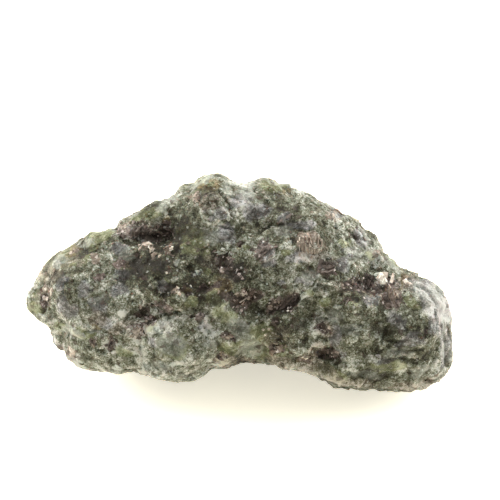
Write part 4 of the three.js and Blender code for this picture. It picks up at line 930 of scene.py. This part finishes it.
# single crystals and plates, by kind: pixel x, y, half length and width in mm, turn, tone; the tiniest with
# tones near or above 1 are painted glints
marks = {
    "pale": [
        (147, 244, 0.85, 0.42, -25, 0.84), (140, 248, 0.5, 0.2, 80, 0.76), (152, 250, 0.6, 0.28, 70, 0.8),
        (149, 248, 0.2, 0.16, 0, 1.05), (140, 249, 0.55, 0.2, 75, 0.7), (153, 254, 0.6, 0.36, 65, 0.7),
        (156, 243, 0.22, 0.16, 0, 0.95), (171, 249, 0.36, 0.24, 40, 0.86), (172, 247, 0.15, 0.12, 0, 1.15),
        (170, 253, 0.36, 0.22, -20, 0.52), (160, 256, 0.32, 0.2, 50, 0.7), (141, 257, 0.26, 0.16, 60, 0.72),
        (96, 257, 0.42, 0.3, 60, 0.95), (91, 255, 0.45, 0.1, 10, 0.82), (70, 253, 0.32, 0.28, 80, 0.9),
        (51, 293, 0.6, 0.45, 60, 0.92), (47, 298, 0.5, 0.3, 70, 0.88), (46, 289, 0.5, 0.3, 70, 0.9),
        (55, 300, 0.5, 0.2, 65, 0.76), (105, 243, 0.26, 0.2, 0, 0.78), (113, 243, 0.45, 0.18, 10, 0.6),
        (54, 270, 0.5, 0.3, 30, 0.52), (46, 274, 0.4, 0.26, 50, 0.6), (72, 350, 1, 0.5, -48, 0.92),
        (93, 345, 0.4, 0.3, 80, 0.55), (121, 228, 0.42, 0.28, 60, 0.8), (195, 197, 0.62, 0.4, 20, 0.82),
        (197, 202, 0.3, 0.2, 0, 0.7), (167, 273, 0.28, 0.18, -20, 0.88), (179, 292, 0.52, 0.36, 25, 0.76),
        (191, 286, 0.2, 0.17, 0, 1.05), (209, 283, 0.22, 0.18, 30, 0.98), (219, 292, 0.5, 0.2, 60, 0.62),
        (243, 293, 0.6, 0.42, 20, 0.86), (236, 294, 0.8, 0.12, 38, 0.8), (248, 299, 0.3, 0.2, 30, 0.76),
        (135, 331, 0.65, 0.3, 62, 0.76), (141, 327, 0.55, 0.24, 62, 0.84), (146, 322, 0.45, 0.2, 60, 0.8),
        (132, 336, 0.4, 0.24, 50, 0.62), (227, 337, 0.7, 0.28, -12, 0.66), (224, 356, 0.48, 0.4, 0, 0.7),
        (279, 348, 0.7, 0.24, -25, 0.7), (273, 353, 0.5, 0.45, 10, 0.56), (276, 343, 0.5, 0.3, 0, 0.5),
        (286, 346, 0.3, 0.15, -30, 0.7), (304, 359, 0.62, 0.28, -10, 0.6), (309, 356, 0.28, 0.28, 0, 0.66),
        (263, 330, 0.26, 0.2, 0, 0.96), (265, 335, 0.2, 0.12, 0, 1.3), (269, 329, 0.26, 0.24, 0, 0.82),
        (275, 300, 0.35, 0.15, 20, 0.72), (279, 302, 0.4, 0.24, -20, 0.76), (271, 306, 0.8, 0.16, 12, 0.72),
        (288, 311, 0.16, 0.16, 0, 1.15), (329, 327, 0.2, 0.3, 70, 0.8), (325, 331, 0.3, 0.2, 0, 0.74),
        (306, 237, 0.5, 0.18, 80, 1), (303, 237, 0.4, 0.14, 95, 0.9), (315, 235, 0.45, 0.16, 70, 0.92),
        (319, 236, 0.4, 0.14, 70, 0.86), (311, 243, 0.5, 0.14, 88, 0.8), (306, 248, 0.5, 0.14, 92, 0.78),
        (313, 250, 0.5, 0.12, 88, 0.76), (299, 255, 0.4, 0.2, 70, 0.72), (312, 257, 0.4, 0.2, 70, 0.66),
        (381, 277, 0.85, 0.66, 80, 1.06), (384, 280, 0.7, 0.5, 70, 1), (386, 284, 0.5, 0.26, -20, 0.84),
        (393, 281, 0.3, 0.2, -40, 0.8), (406, 281, 0.62, 0.42, -60, 0.92), (409, 284, 0.45, 0.3, 60, 0.9),
        (349, 279, 0.3, 0.15, 30, 0.8), (353, 284, 0.3, 0.14, -20, 0.76), (373, 291, 0.36, 0.12, 10, 0.84),
        (380, 296, 0.4, 0.14, -10, 0.88), (363, 292, 0.3, 0.12, 0, 0.78), (344, 288, 0.3, 0.14, 0, 0.7),
        (369, 301, 0.3, 0.12, -20, 0.84), (402, 288, 0.34, 0.28, 0, 0.6), (364, 298, 0.34, 0.2, -10, 0.86),
        (372, 307, 0.4, 0.14, -30, 0.72), (349, 235, 0.45, 0.15, 75, 0.8), (335, 212, 0.6, 0.28, -40, 0.66),
        (330, 217, 0.3, 0.2, 0, 0.64), (339, 219, 0.3, 0.2, 0, 0.66), (286, 195, 0.35, 0.07, 5, 0.98),
        (377, 256, 0.4, 0.18, 80, 0.58), (415, 358, 0.3, 0.14, 0, 0.74), (353, 281, 0.4, 0.24, 30, 0.56),
        (343, 285, 0.45, 0.28, 10, 0.56), (177, 352, 0.16, 0.12, 0, 1), (345, 386, 0.6, 0.2, -5, 0.55),
        (390, 387, 0.7, 0.18, 0, 0.55), (437, 375, 0.6, 0.2, 35, 0.6),
    ],
    "mica": [
        (134, 229, 0.5, 0.28, 20, 0.6), (128, 233, 0.5, 0.28, -20, 0.6), (138, 236, 0.4, 0.22, 10, 0.62),
        (147, 228, 0.4, 0.2, 0, 0.42), (154, 232, 0.5, 0.28, 30, 0.4), (167, 234, 0.55, 0.32, 50, 0.58),
        (173, 235, 0.45, 0.11, 80, 0.72), (139, 239, 0.17, 0.14, 0, 1.1), (160, 226, 0.4, 0.24, 40, 0.48),
        (122, 236, 0.4, 0.28, 0, 0.58), (221, 269, 0.55, 0.22, 85, 0.72), (228, 267, 0.5, 0.24, 80, 0.6),
        (214, 252, 0.5, 0.2, 30, 0.48), (219, 259, 0.45, 0.2, 80, 0.36), (296, 297, 1.3, 0.22, 46, 0.62),
        (289, 301, 1.2, 0.28, 46, 0.4), (283, 307, 0.9, 0.22, 40, 0.5), (266, 247, 1, 0.14, 35, 0.68),
        (259, 242, 0.8, 0.14, 30, 0.6), (266, 252, 0.9, 0.26, 20, 0.42), (270, 256, 0.6, 0.14, 40, 0.64),
        (328, 267, 0.8, 0.3, 30, 0.46), (320, 271, 0.6, 0.32, 20, 0.6), (334, 263, 0.5, 0.2, 30, 0.42),
        (346, 283, 0.45, 0.26, 20, 0.58), (357, 280, 0.4, 0.24, 0, 0.4), (363, 278, 0.28, 0.2, 60, 1),
        (366, 286, 0.4, 0.24, 30, 0.46), (360, 289, 0.5, 0.18, 10, 0.55), (371, 284, 0.36, 0.22, 60, 0.44),
        (367, 294, 0.4, 0.2, 0, 0.6), (354, 288, 0.36, 0.22, 40, 0.52), (390, 290, 0.8, 0.46, 70, 0.62),
        (393, 298, 0.7, 0.38, 80, 0.66), (388, 304, 0.6, 0.36, 60, 0.54), (396, 288, 0.5, 0.28, 30, 0.68),
        (365, 240, 0.5, 0.16, -45, 0.66), (356, 228, 0.5, 0.12, -60, 0.56), (370, 243, 0.4, 0.14, -45, 0.64),
        (199, 319, 1, 0.55, 25, 0.42), (200, 314, 1, 0.09, 28, 0.84), (322, 350, 0.4, 0.18, 60, 0.58),
        (328, 351, 0.6, 0.14, 80, 0.64), (325, 357, 0.5, 0.14, 70, 0.48), (337, 352, 0.7, 0.34, -25, 0.72),
        (168, 311, 1, 0.32, -20, 0.6), (158, 304, 0.7, 0.26, -20, 0.45), (156, 301, 0.34, 0.18, 0, 0.58),
        (110, 347, 0.8, 0.36, 60, 0.52), (92, 342, 0.4, 0.32, 0, 0.42), (61, 347, 1.1, 0.26, -52, 0.6),
        (206, 196, 0.3, 0.13, -60, 0.78), (217, 199, 0.3, 0.12, 30, 0.6), (213, 206, 0.3, 0.14, 70, 0.7),
        (121, 262, 0.5, 0.38, 20, 0.4), (288, 216, 1, 0.3, 40, 0.6), (281, 221, 0.8, 0.28, 40, 0.66),
    ],
    "olive": [
        (209, 271, 0.62, 0.52, 20, 0.06), (193, 301, 1, 0.75, 50, -0.14), (325, 303, 0.95, 0.66, 20, 0.1),
        (343, 244, 0.62, 0.55, 0, 0.3), (288, 252, 0.7, 0.48, 10, 0.1), (248, 248, 0.6, 0.4, 20, 0.1),
        (92, 249, 1, 0.6, 10, -0.14), (407, 299, 0.7, 0.6, 0, 0.02), (417, 307, 0.7, 0.6, 0, -0.12),
        (74, 265, 0.7, 0.5, 20, 0), (212, 184, 0.9, 0.36, 20, 0.02), (150, 213, 1, 0.5, 40, -0.08),
        (319, 205, 0.6, 0.3, -30, 0.22), (83, 364, 0.5, 0.26, -20, 0), (265, 188, 0.9, 0.4, 0, 0.02),
        (350, 303, 0.45, 0.28, 30, 0.16), (58, 326, 0.6, 0.3, -35, 0.04), (185, 246, 0.7, 0.5, 0, -0.06),
    ],
    "frost": [
        (128, 248, 0.6, 0.5, 0, 0.1), (115, 277, 0.7, 0.5, 0, 0.04), (166, 206, 0.9, 0.7, 60, 0.1),
        (178, 262, 0.9, 0.7, 40, 0), (175, 280, 0.5, 0.4, 0, 0.02), (197, 271, 0.7, 0.5, 10, 0.02),
        (208, 241, 0.45, 0.26, -40, 0.26), (222, 252, 1.2, 0.36, 10, 0.08), (336, 226, 0.8, 0.28, -25, 0.2),
        (196, 329, 0.4, 0.3, 0, 0.16), (208, 331, 0.5, 0.46, 60, 0.08), (219, 333, 0.8, 0.32, 20, 0.04),
        (84, 336, 0.7, 0.36, -50, 0.18), (74, 329, 0.8, 0.28, -50, 0.14), (52, 317, 0.5, 0.36, 0, 0.18),
        (281, 322, 0.28, 0.2, 0, 0.16), (302, 319, 0.5, 0.28, 80, 0.1), (337, 306, 0.8, 0.36, 20, 0.08),
        (267, 284, 0.28, 0.2, 0, 0.2), (213, 227, 0.2, 0.2, 0, 0.26), (92, 288, 0.7, 0.24, 20, 0.1),
        (290, 242, 0.5, 0.4, 60, 0.14), (148, 366, 0.4, 0.9, 20, 0.08), (165, 367, 0.8, 0.5, 0, 0.06),
        (240, 313, 0.4, 0.5, 0, 0.08), (361, 327, 0.5, 0.4, 60, 0.1), (34, 314, 0.6, 0.26, -15, 0.1),
    ],
    "lavender": [
        (66, 280, 1, 0.46, 20, -0.04), (152, 343, 0.9, 0.8, 60, 0.06), (281, 283, 1.2, 0.6, 0, 0.02),
        (221, 216, 1.1, 0.6, 15, 0.02), (350, 256, 0.8, 0.56, 0, 0.06), (380, 357, 0.6, 0.4, -20, 0.1),
        (427, 293, 0.9, 0.5, -50, 0.1), (435, 315, 0.6, 0.9, 10, 0.12), (359, 233, 0.9, 0.4, -55, 0.22),
        (225, 235, 1.1, 0.6, 10, -0.02), (160, 290, 1, 0.5, -10, -0.16), (270, 210, 0.9, 0.6, 20, -0.1),
        (66, 352, 0.6, 0.2, -55, 0), (376, 296, 0.7, 0.5, 0, -0.02),
    ],
    # painted shade: near-black flakes set where holes and cracks hold shade
    "painted_shade": [
        (354, 238, 0.36, 0.22, 60, -0.4), (309, 239, 0.2, 0.1, 90, -0.4), (160, 230, 0.5, 0.3, 60, -0.4),
        (171, 230, 0.4, 0.24, -60, -0.4), (370, 277, 0.6, 0.3, 10, -0.4), (359, 281, 0.4, 0.3, 0, -0.4),
        (369, 289, 0.5, 0.24, 0, -0.35), (383, 288, 0.35, 0.2, 0, -0.4), (203, 291, 0.45, 0.3, 20, -0.4),
        (146, 311, 0.5, 0.3, 30, -0.4), (152, 304, 0.4, 0.2, 0, -0.35), (46, 310, 0.3, 0.16, 80, -0.35),
        (327, 356, 0.5, 0.24, 0, -0.4), (339, 357, 0.4, 0.2, 0, -0.4), (229, 211, 0.9, 0.12, -68, -0.35),
        (287, 192, 0.26, 0.14, 0, -0.4), (405, 291, 0.3, 0.16, 0, -0.4), (386, 331, 0.4, 0.35, 60, -0.3),
        (224, 263, 0.5, 0.3, 70, -0.35), (242, 232, 0.5, 0.24, 80, -0.35), (296, 308, 0.7, 0.18, 42, -0.4),
        (117, 229, 0.4, 0.2, 60, -0.35),
    ],
}
markLook = {
    "sheets": 5,               # of each, split apart at the edges
    "rise": 0.18,              # mm that it may stand out
    "thickness": (0.10, 0.24),
    "sunk": (0.0, 0.12),
    "tilt": 0.3,
    "stray": 0.25,             # how far apart the sheets lean
}


def anyWay(rng):
    return Vector([rng.uniform(-1, 1) for _ in range(3)])


def turnedAlong(degrees):
    return alongFace * math.cos(math.radians(degrees)) + upFace * math.sin(math.radians(degrees))


# a frame at a point: its first axis as near the wanted one as the normal lets it be
def frameAt(point, normal, wanted):
    side = (wanted - normal * wanted.dot(normal)).normalized()
    other = normal.cross(side)
    turn = Matrix((side, other, normal)).transposed().to_4x4()
    turn.translation = point
    return turn


# the surface seen at a pixel, or the nearest to it past the outline
def surfaceAt(tree, px):
    start, direction = rayThrough(px)
    place, normal, _, _ = tree.ray_cast(start, direction)
    if place is None:
        place, normal, _, _ = tree.find_nearest(start + direction * cameraView["distance"])
    return place, normal


# presses a crystal down where it stands out of the surface by more than so many mm, its underside deeper
def settle(verts, tree, most):
    middle = sum((vert.co for vert in verts), Vector()) / len(verts)
    _, out, _, _ = tree.find_nearest(middle)
    for vert in verts:
        near, normal, _, _ = tree.find_nearest(vert.co)
        limit = most * mm if (vert.co - middle).dot(out) > 0 else (most - undersideDepth) * mm
        excess = (vert.co - near).dot(normal) - limit
        if excess > 0:
            vert.co -= normal * excess


# one thin crystal: a low prism with uneven corners
def addFlake(bm, matrix, radius, stretch, thickness, rng):
    made = bmesh.ops.create_cone(
        bm, cap_ends=True, segments=rng.choice((3, 4, 4, 5, 6)), radius1=radius,
        radius2=radius * rng.uniform(0.7, 1.0), depth=thickness,
        matrix=matrix @ Matrix.Diagonal((stretch, 1, 1, 1)))
    middle, out = matrix.translation, matrix.col[2].xyz
    for vert in made["verts"]:
        away = vert.co - middle
        height = out * away.dot(out)
        vert.co = middle + height + (away - height) * rng.uniform(0.65, 1.25)
    return made["verts"]


def addBook(bm, tree, book, rng):
    _, px, turn, plates, length, step, _ = book
    place, normal = surfaceAt(tree, px)
    matrix = frameAt(place, normal, turnedAlong(turn))
    sets = []
    for i in range(plates):
        verts = bmesh.ops.create_cube(bm, size=mm)["verts"]
        size = (length * rng.uniform(*bookLook["length"]), step * rng.uniform(*bookLook["step"]),
                rng.uniform(*bookLook["height"]))
        bmesh.ops.scale(bm, verts=verts, vec=size)
        lean = Matrix.Identity(4)
        for axis, most in bookLook["lean"]:
            lean = lean @ Matrix.Rotation(rng.uniform(-most, most), 4, axis)
        aside = (i - plates / 2) * step + rng.uniform(-0.5, 0.5) * step
        shift = Vector((rng.uniform(-0.35, 0.35) * length, aside, rng.uniform(*bookLook["sunk"]))) * mm
        for vert in verts:
            vert.co.x += rng.uniform(-0.12, 0.12) * mm
        bmesh.ops.transform(bm, verts=verts, matrix=matrix @ Matrix.Translation(shift) @ lean)
        settle(verts, tree, bookLook["rise"])
        sets.append(verts)
    return sets


def addMark(bm, layers, tree, kind, mark, rng):
    x, y, halfLong, halfWide, turn, light = mark
    place, normal = surfaceAt(tree, (x, y))
    along = turnedAlong(turn)
    tilt = anyWay(rng) * markLook["tilt"]
    for _ in range(markLook["sheets"]):
        stray = anyWay(rng)
        facing = (normal + tilt + stray * markLook["stray"]).normalized()
        middle = place - normal * rng.uniform(*markLook["sunk"]) * mm
        middle = middle + (stray - normal * stray.dot(normal)) * halfWide * 0.5 * mm
        share = rng.uniform(0.5, 0.85)
        verts = addFlake(bm, frameAt(middle, facing, along), halfWide * share * mm, halfLong / halfWide,
                         rng.uniform(*markLook["thickness"]) * mm, rng)
        settle(verts, tree, markLook["rise"])
        change = rng.uniform(-0.16, 0.10)
        values = {"shade": light + change}
        if kind in layers:
            values = {"tone": light, "shade": 0.5 + 2 * change, "curvature_shading": 0.5, "rise": 0.5, kind: 1.0}
        for vert in verts:
            for name, value in values.items():
                vert[layers[name]] = value


# flakes of one kind strewn where its mask is, in small batches; chlorite flakes keep the masks of their place
def makeFlakes(kind, tree, points, normals):
    look = flakeLooks[kind]
    rng = random.Random(look["seed"])
    carried = list(stoneMasks) if kind == "chlorite" else ["shade"]
    mask = stoneMasks.get(kind, 1 - 0.6 * stoneMasks["olive"] - 0.3 * stoneMasks["mica"])
    places = np.flatnonzero((mask > look["leastMask"]) & (points[:, 2] > stoneShape["footKept"]))
    whole = bmesh.new()
    for name in carried:
        whole.verts.layers.float.new(name)
    made = 0
    while made < look["count"]:
        batch = bmesh.new()
        layers = {name: batch.verts.layers.float.new(name) for name in carried}
        for _ in range(flakeBatch):
            pick = int(places[rng.randrange(len(places))])
            if rng.random() > mask[pick]:
                continue
            point, normal = Vector(points[pick]), Vector(normals[pick])
            drift = noise.noise_vector(point / (1.6 * mm)) * look["tilt"] * 1.6
            stray = anyWay(rng) * look["stray"]
            facing = (normal + drift + stray).normalized()
            if facing.dot(normal) < 0.15:
                facing = (facing + normal).normalized()
            wanted = noise.noise_vector(point / (1.6 * mm) + Vector((5, 5, 5))) + Vector((0.01, 0, 0))
            matrix = frameAt(point + normal * rng.uniform(*look["sunk"]) * mm, facing, wanted)
            verts = addFlake(batch, matrix, rng.uniform(*look["radius"]) * mm, rng.uniform(*look["stretch"]),
                             rng.uniform(*look["thickness"]) * mm, rng)
            settle(verts, tree, look["rise"])
            shade = rng.random()
            for vert in verts:
                for name, layer in layers.items():
                    vert[layer] = shade if name == "shade" else stoneMasks[name][pick]
        made += flakeBatch
        joinOn(whole, batch)
    for book in books:
        if book[0] == kind:
            batch = bmesh.new()
            shades = batch.verts.layers.float.new("shade")
            for verts in addBook(batch, tree, book, rng):
                shade = book[-1] + rng.uniform(-bookLook["shades"], bookLook["shades"])
                for vert in verts:
                    vert[shades] = shade
            joinOn(whole, batch)
    batch = bmesh.new()
    layers = {name: batch.verts.layers.float.new(name) for name in carried}
    for markKind in [kind] if kind in marks else ["olive", "frost", "lavender", "painted_shade"]:
        for mark in marks[markKind]:
            addMark(batch, layers, tree, markKind, mark, rng)
    joinOn(whole, batch)
    low, high = cadBox
    for vert in whole.verts:
        vert.co = Vector([min(max(vert.co[i], low[i]), high[i]) for i in range(3)])
    bmesh.ops.recalc_face_normals(whole, faces=whole.faces)
    mesh = bpy.data.meshes.new(kind + " flakes")
    whole.to_mesh(mesh)
    whole.free()
    return mesh


def joinOn(whole, batch):
    part = bpy.data.meshes.new("batch")
    batch.to_mesh(part)
    batch.free()
    whole.from_mesh(part)
    bpy.data.meshes.remove(part)


# near white at the top of each ramp: painted glints and the palest flakes
flakeColours = {
    "mica": [(0.0, (0.008, 0.005, 0.002)), (0.28, (0.028, 0.019, 0.012)), (0.52, (0.084, 0.063, 0.050)),
             (0.76, (0.190, 0.152, 0.132)), (0.94, (0.400, 0.345, 0.315)), (1.0, (0.640, 0.620, 0.600))],
    "pale": [(0.0, (0.030, 0.021, 0.016)), (0.35, (0.090, 0.068, 0.050)), (0.65, (0.200, 0.160, 0.122)),
             (0.93, (0.460, 0.405, 0.340)), (1.0, (0.820, 0.770, 0.670))],
}


def flakeMaterial(kind, roughness, specular, subsurface):
    material, wires, shader, place = newMaterial(kind + " flakes", roughness, specular, subsurface)
    threads = felt(wires, place, 0.8, 0.12, 1.6)
    grime = mottle(wires, place, 0.35, 3.0, 1.6)
    tone = wires.math("MULTIPLY", wires.attribute("shade"), 0.85)
    for value, middle in ((threads["Fibres"], 0.3), (grime, 0.4)):
        change = wires.math("MULTIPLY", wires.math("SUBTRACT", value, middle), 0.30)
        tone = wires.math("ADD", tone, change, clamp=value == grime)
    wires.tree.links.new(wires.ramp(tone, flakeColours[kind]), shader.inputs["Base Color"])
    rough = wires.mapped(grime, 0.2, 0.8, roughness - 0.15, roughness + 0.2)
    wires.tree.links.new(rough, shader.inputs["Roughness"])
    bump = wires.add("ShaderNodeBump", {"Height": threads["Fibres"], "Distance": 0.05 * mm, "Strength": 0.7})
    wires.tree.links.new(bump.outputs[0], shader.inputs["Normal"])
    return material


stoneTree = BVHTree.FromPolygons([v.co for v in stoneMesh.vertices], [p.vertices for p in stoneMesh.polygons])
stonePoints, stoneNormals = meshPoints(stoneMesh), meshNormals(stoneMesh)
for kind, roughness, specular, subsurface in (("mica", 0.48, 0.35, 0), ("pale", 0.5, 0.30, 0.1)):
    flakes = makeFlakes(kind, stoneTree, stonePoints, stoneNormals)
    addPiece(kind + "_flakes", flakes, flakeMaterial(kind, roughness, specular, subsurface))
scales = makeFlakes("chlorite", stoneTree, stonePoints, stoneNormals)
addPiece("chlorite_flakes", scales, stoneMesh.materials[0])
print("flakes placed")

floorLook = {"side": 3.0, "colour": (0.90, 0.86, 0.73, 1), "glow": (1.0, 0.96, 0.83, 1), "glowStrength": 0.60}


def makeFloor():
    bm = bmesh.new()
    bmesh.ops.create_grid(bm, x_segments=1, y_segments=1, size=floorLook["side"] / 2)
    mesh = bpy.data.meshes.new("floor")
    bm.to_mesh(mesh)
    bm.free()
    floor = bpy.data.objects.new("floor", mesh)
    bpy.context.scene.collection.objects.link(floor)
    material = bpy.data.materials.new("white paper")
    material.use_nodes = True
    shader = material.node_tree.nodes["Principled BSDF"]
    shader.inputs["Base Color"].default_value = floorLook["colour"]
    shader.inputs["Emission Color"].default_value = floorLook["glow"]
    shader.inputs["Emission Strength"].default_value = floorLook["glowStrength"]
    shader.inputs["Roughness"].default_value = 0.9
    shader.inputs["Specular IOR Level"].default_value = 0.1
    mesh.materials.append(material)


lights = {
    "tent": {"front": 0.30, "around": 1.15, "frontEnds": -0.1},  # brightness towards the camera and elsewhere
    "key": {"place": (-0.10, 0.30, 0.50), "side": 0.30, "watts": 6.0, "colour": (1.0, 0.98, 0.94)},
    "left": {"place": (-0.46, 0.10, 0.20), "side": 0.35, "watts": 4.0, "colour": (1.0, 0.99, 0.97)},
    "right": {"place": (0.46, 0.10, 0.22), "side": 0.35, "watts": 3.5, "colour": (1.0, 0.99, 0.97)},
}


def makeLight(name, look):
    data = bpy.data.lights.new(name, "AREA")
    data.energy = look["watts"]
    data.size = look["side"]
    data.color = look["colour"]
    lamp = bpy.data.objects.new(name, data)
    lamp.location = look["place"]
    lamp.rotation_mode = "QUATERNION"
    lamp.rotation_quaternion = (-lamp.location).to_track_quat("-Z", "Y")
    bpy.context.scene.collection.objects.link(lamp)


# white all round but dim towards the camera
def makeWorld():
    world = bpy.data.worlds.new("light tent")
    world.use_nodes = True
    wires = Wiring(world.node_tree)
    look = lights["tent"]
    direction = wires.add("ShaderNodeTexCoord").outputs["Generated"]
    back = wires.add("ShaderNodeSeparateXYZ", {0: direction}).outputs["Y"]
    brightness = wires.mapped(back, -1.0, look["frontEnds"], look["front"], look["around"], smooth=True)
    background = world.node_tree.nodes["Background"]
    background.inputs["Color"].default_value = (1, 1, 1, 1)
    wires.tree.links.new(brightness, background.inputs["Strength"])
    bpy.context.scene.world = world


makeFloor()
for name in ("key", "left", "right"):
    makeLight(name, lights[name])
makeWorld()
bpy.context.scene.view_settings.view_transform = "Standard"
bpy.context.scene.view_settings.look = "None"
print("floor and lights ready")
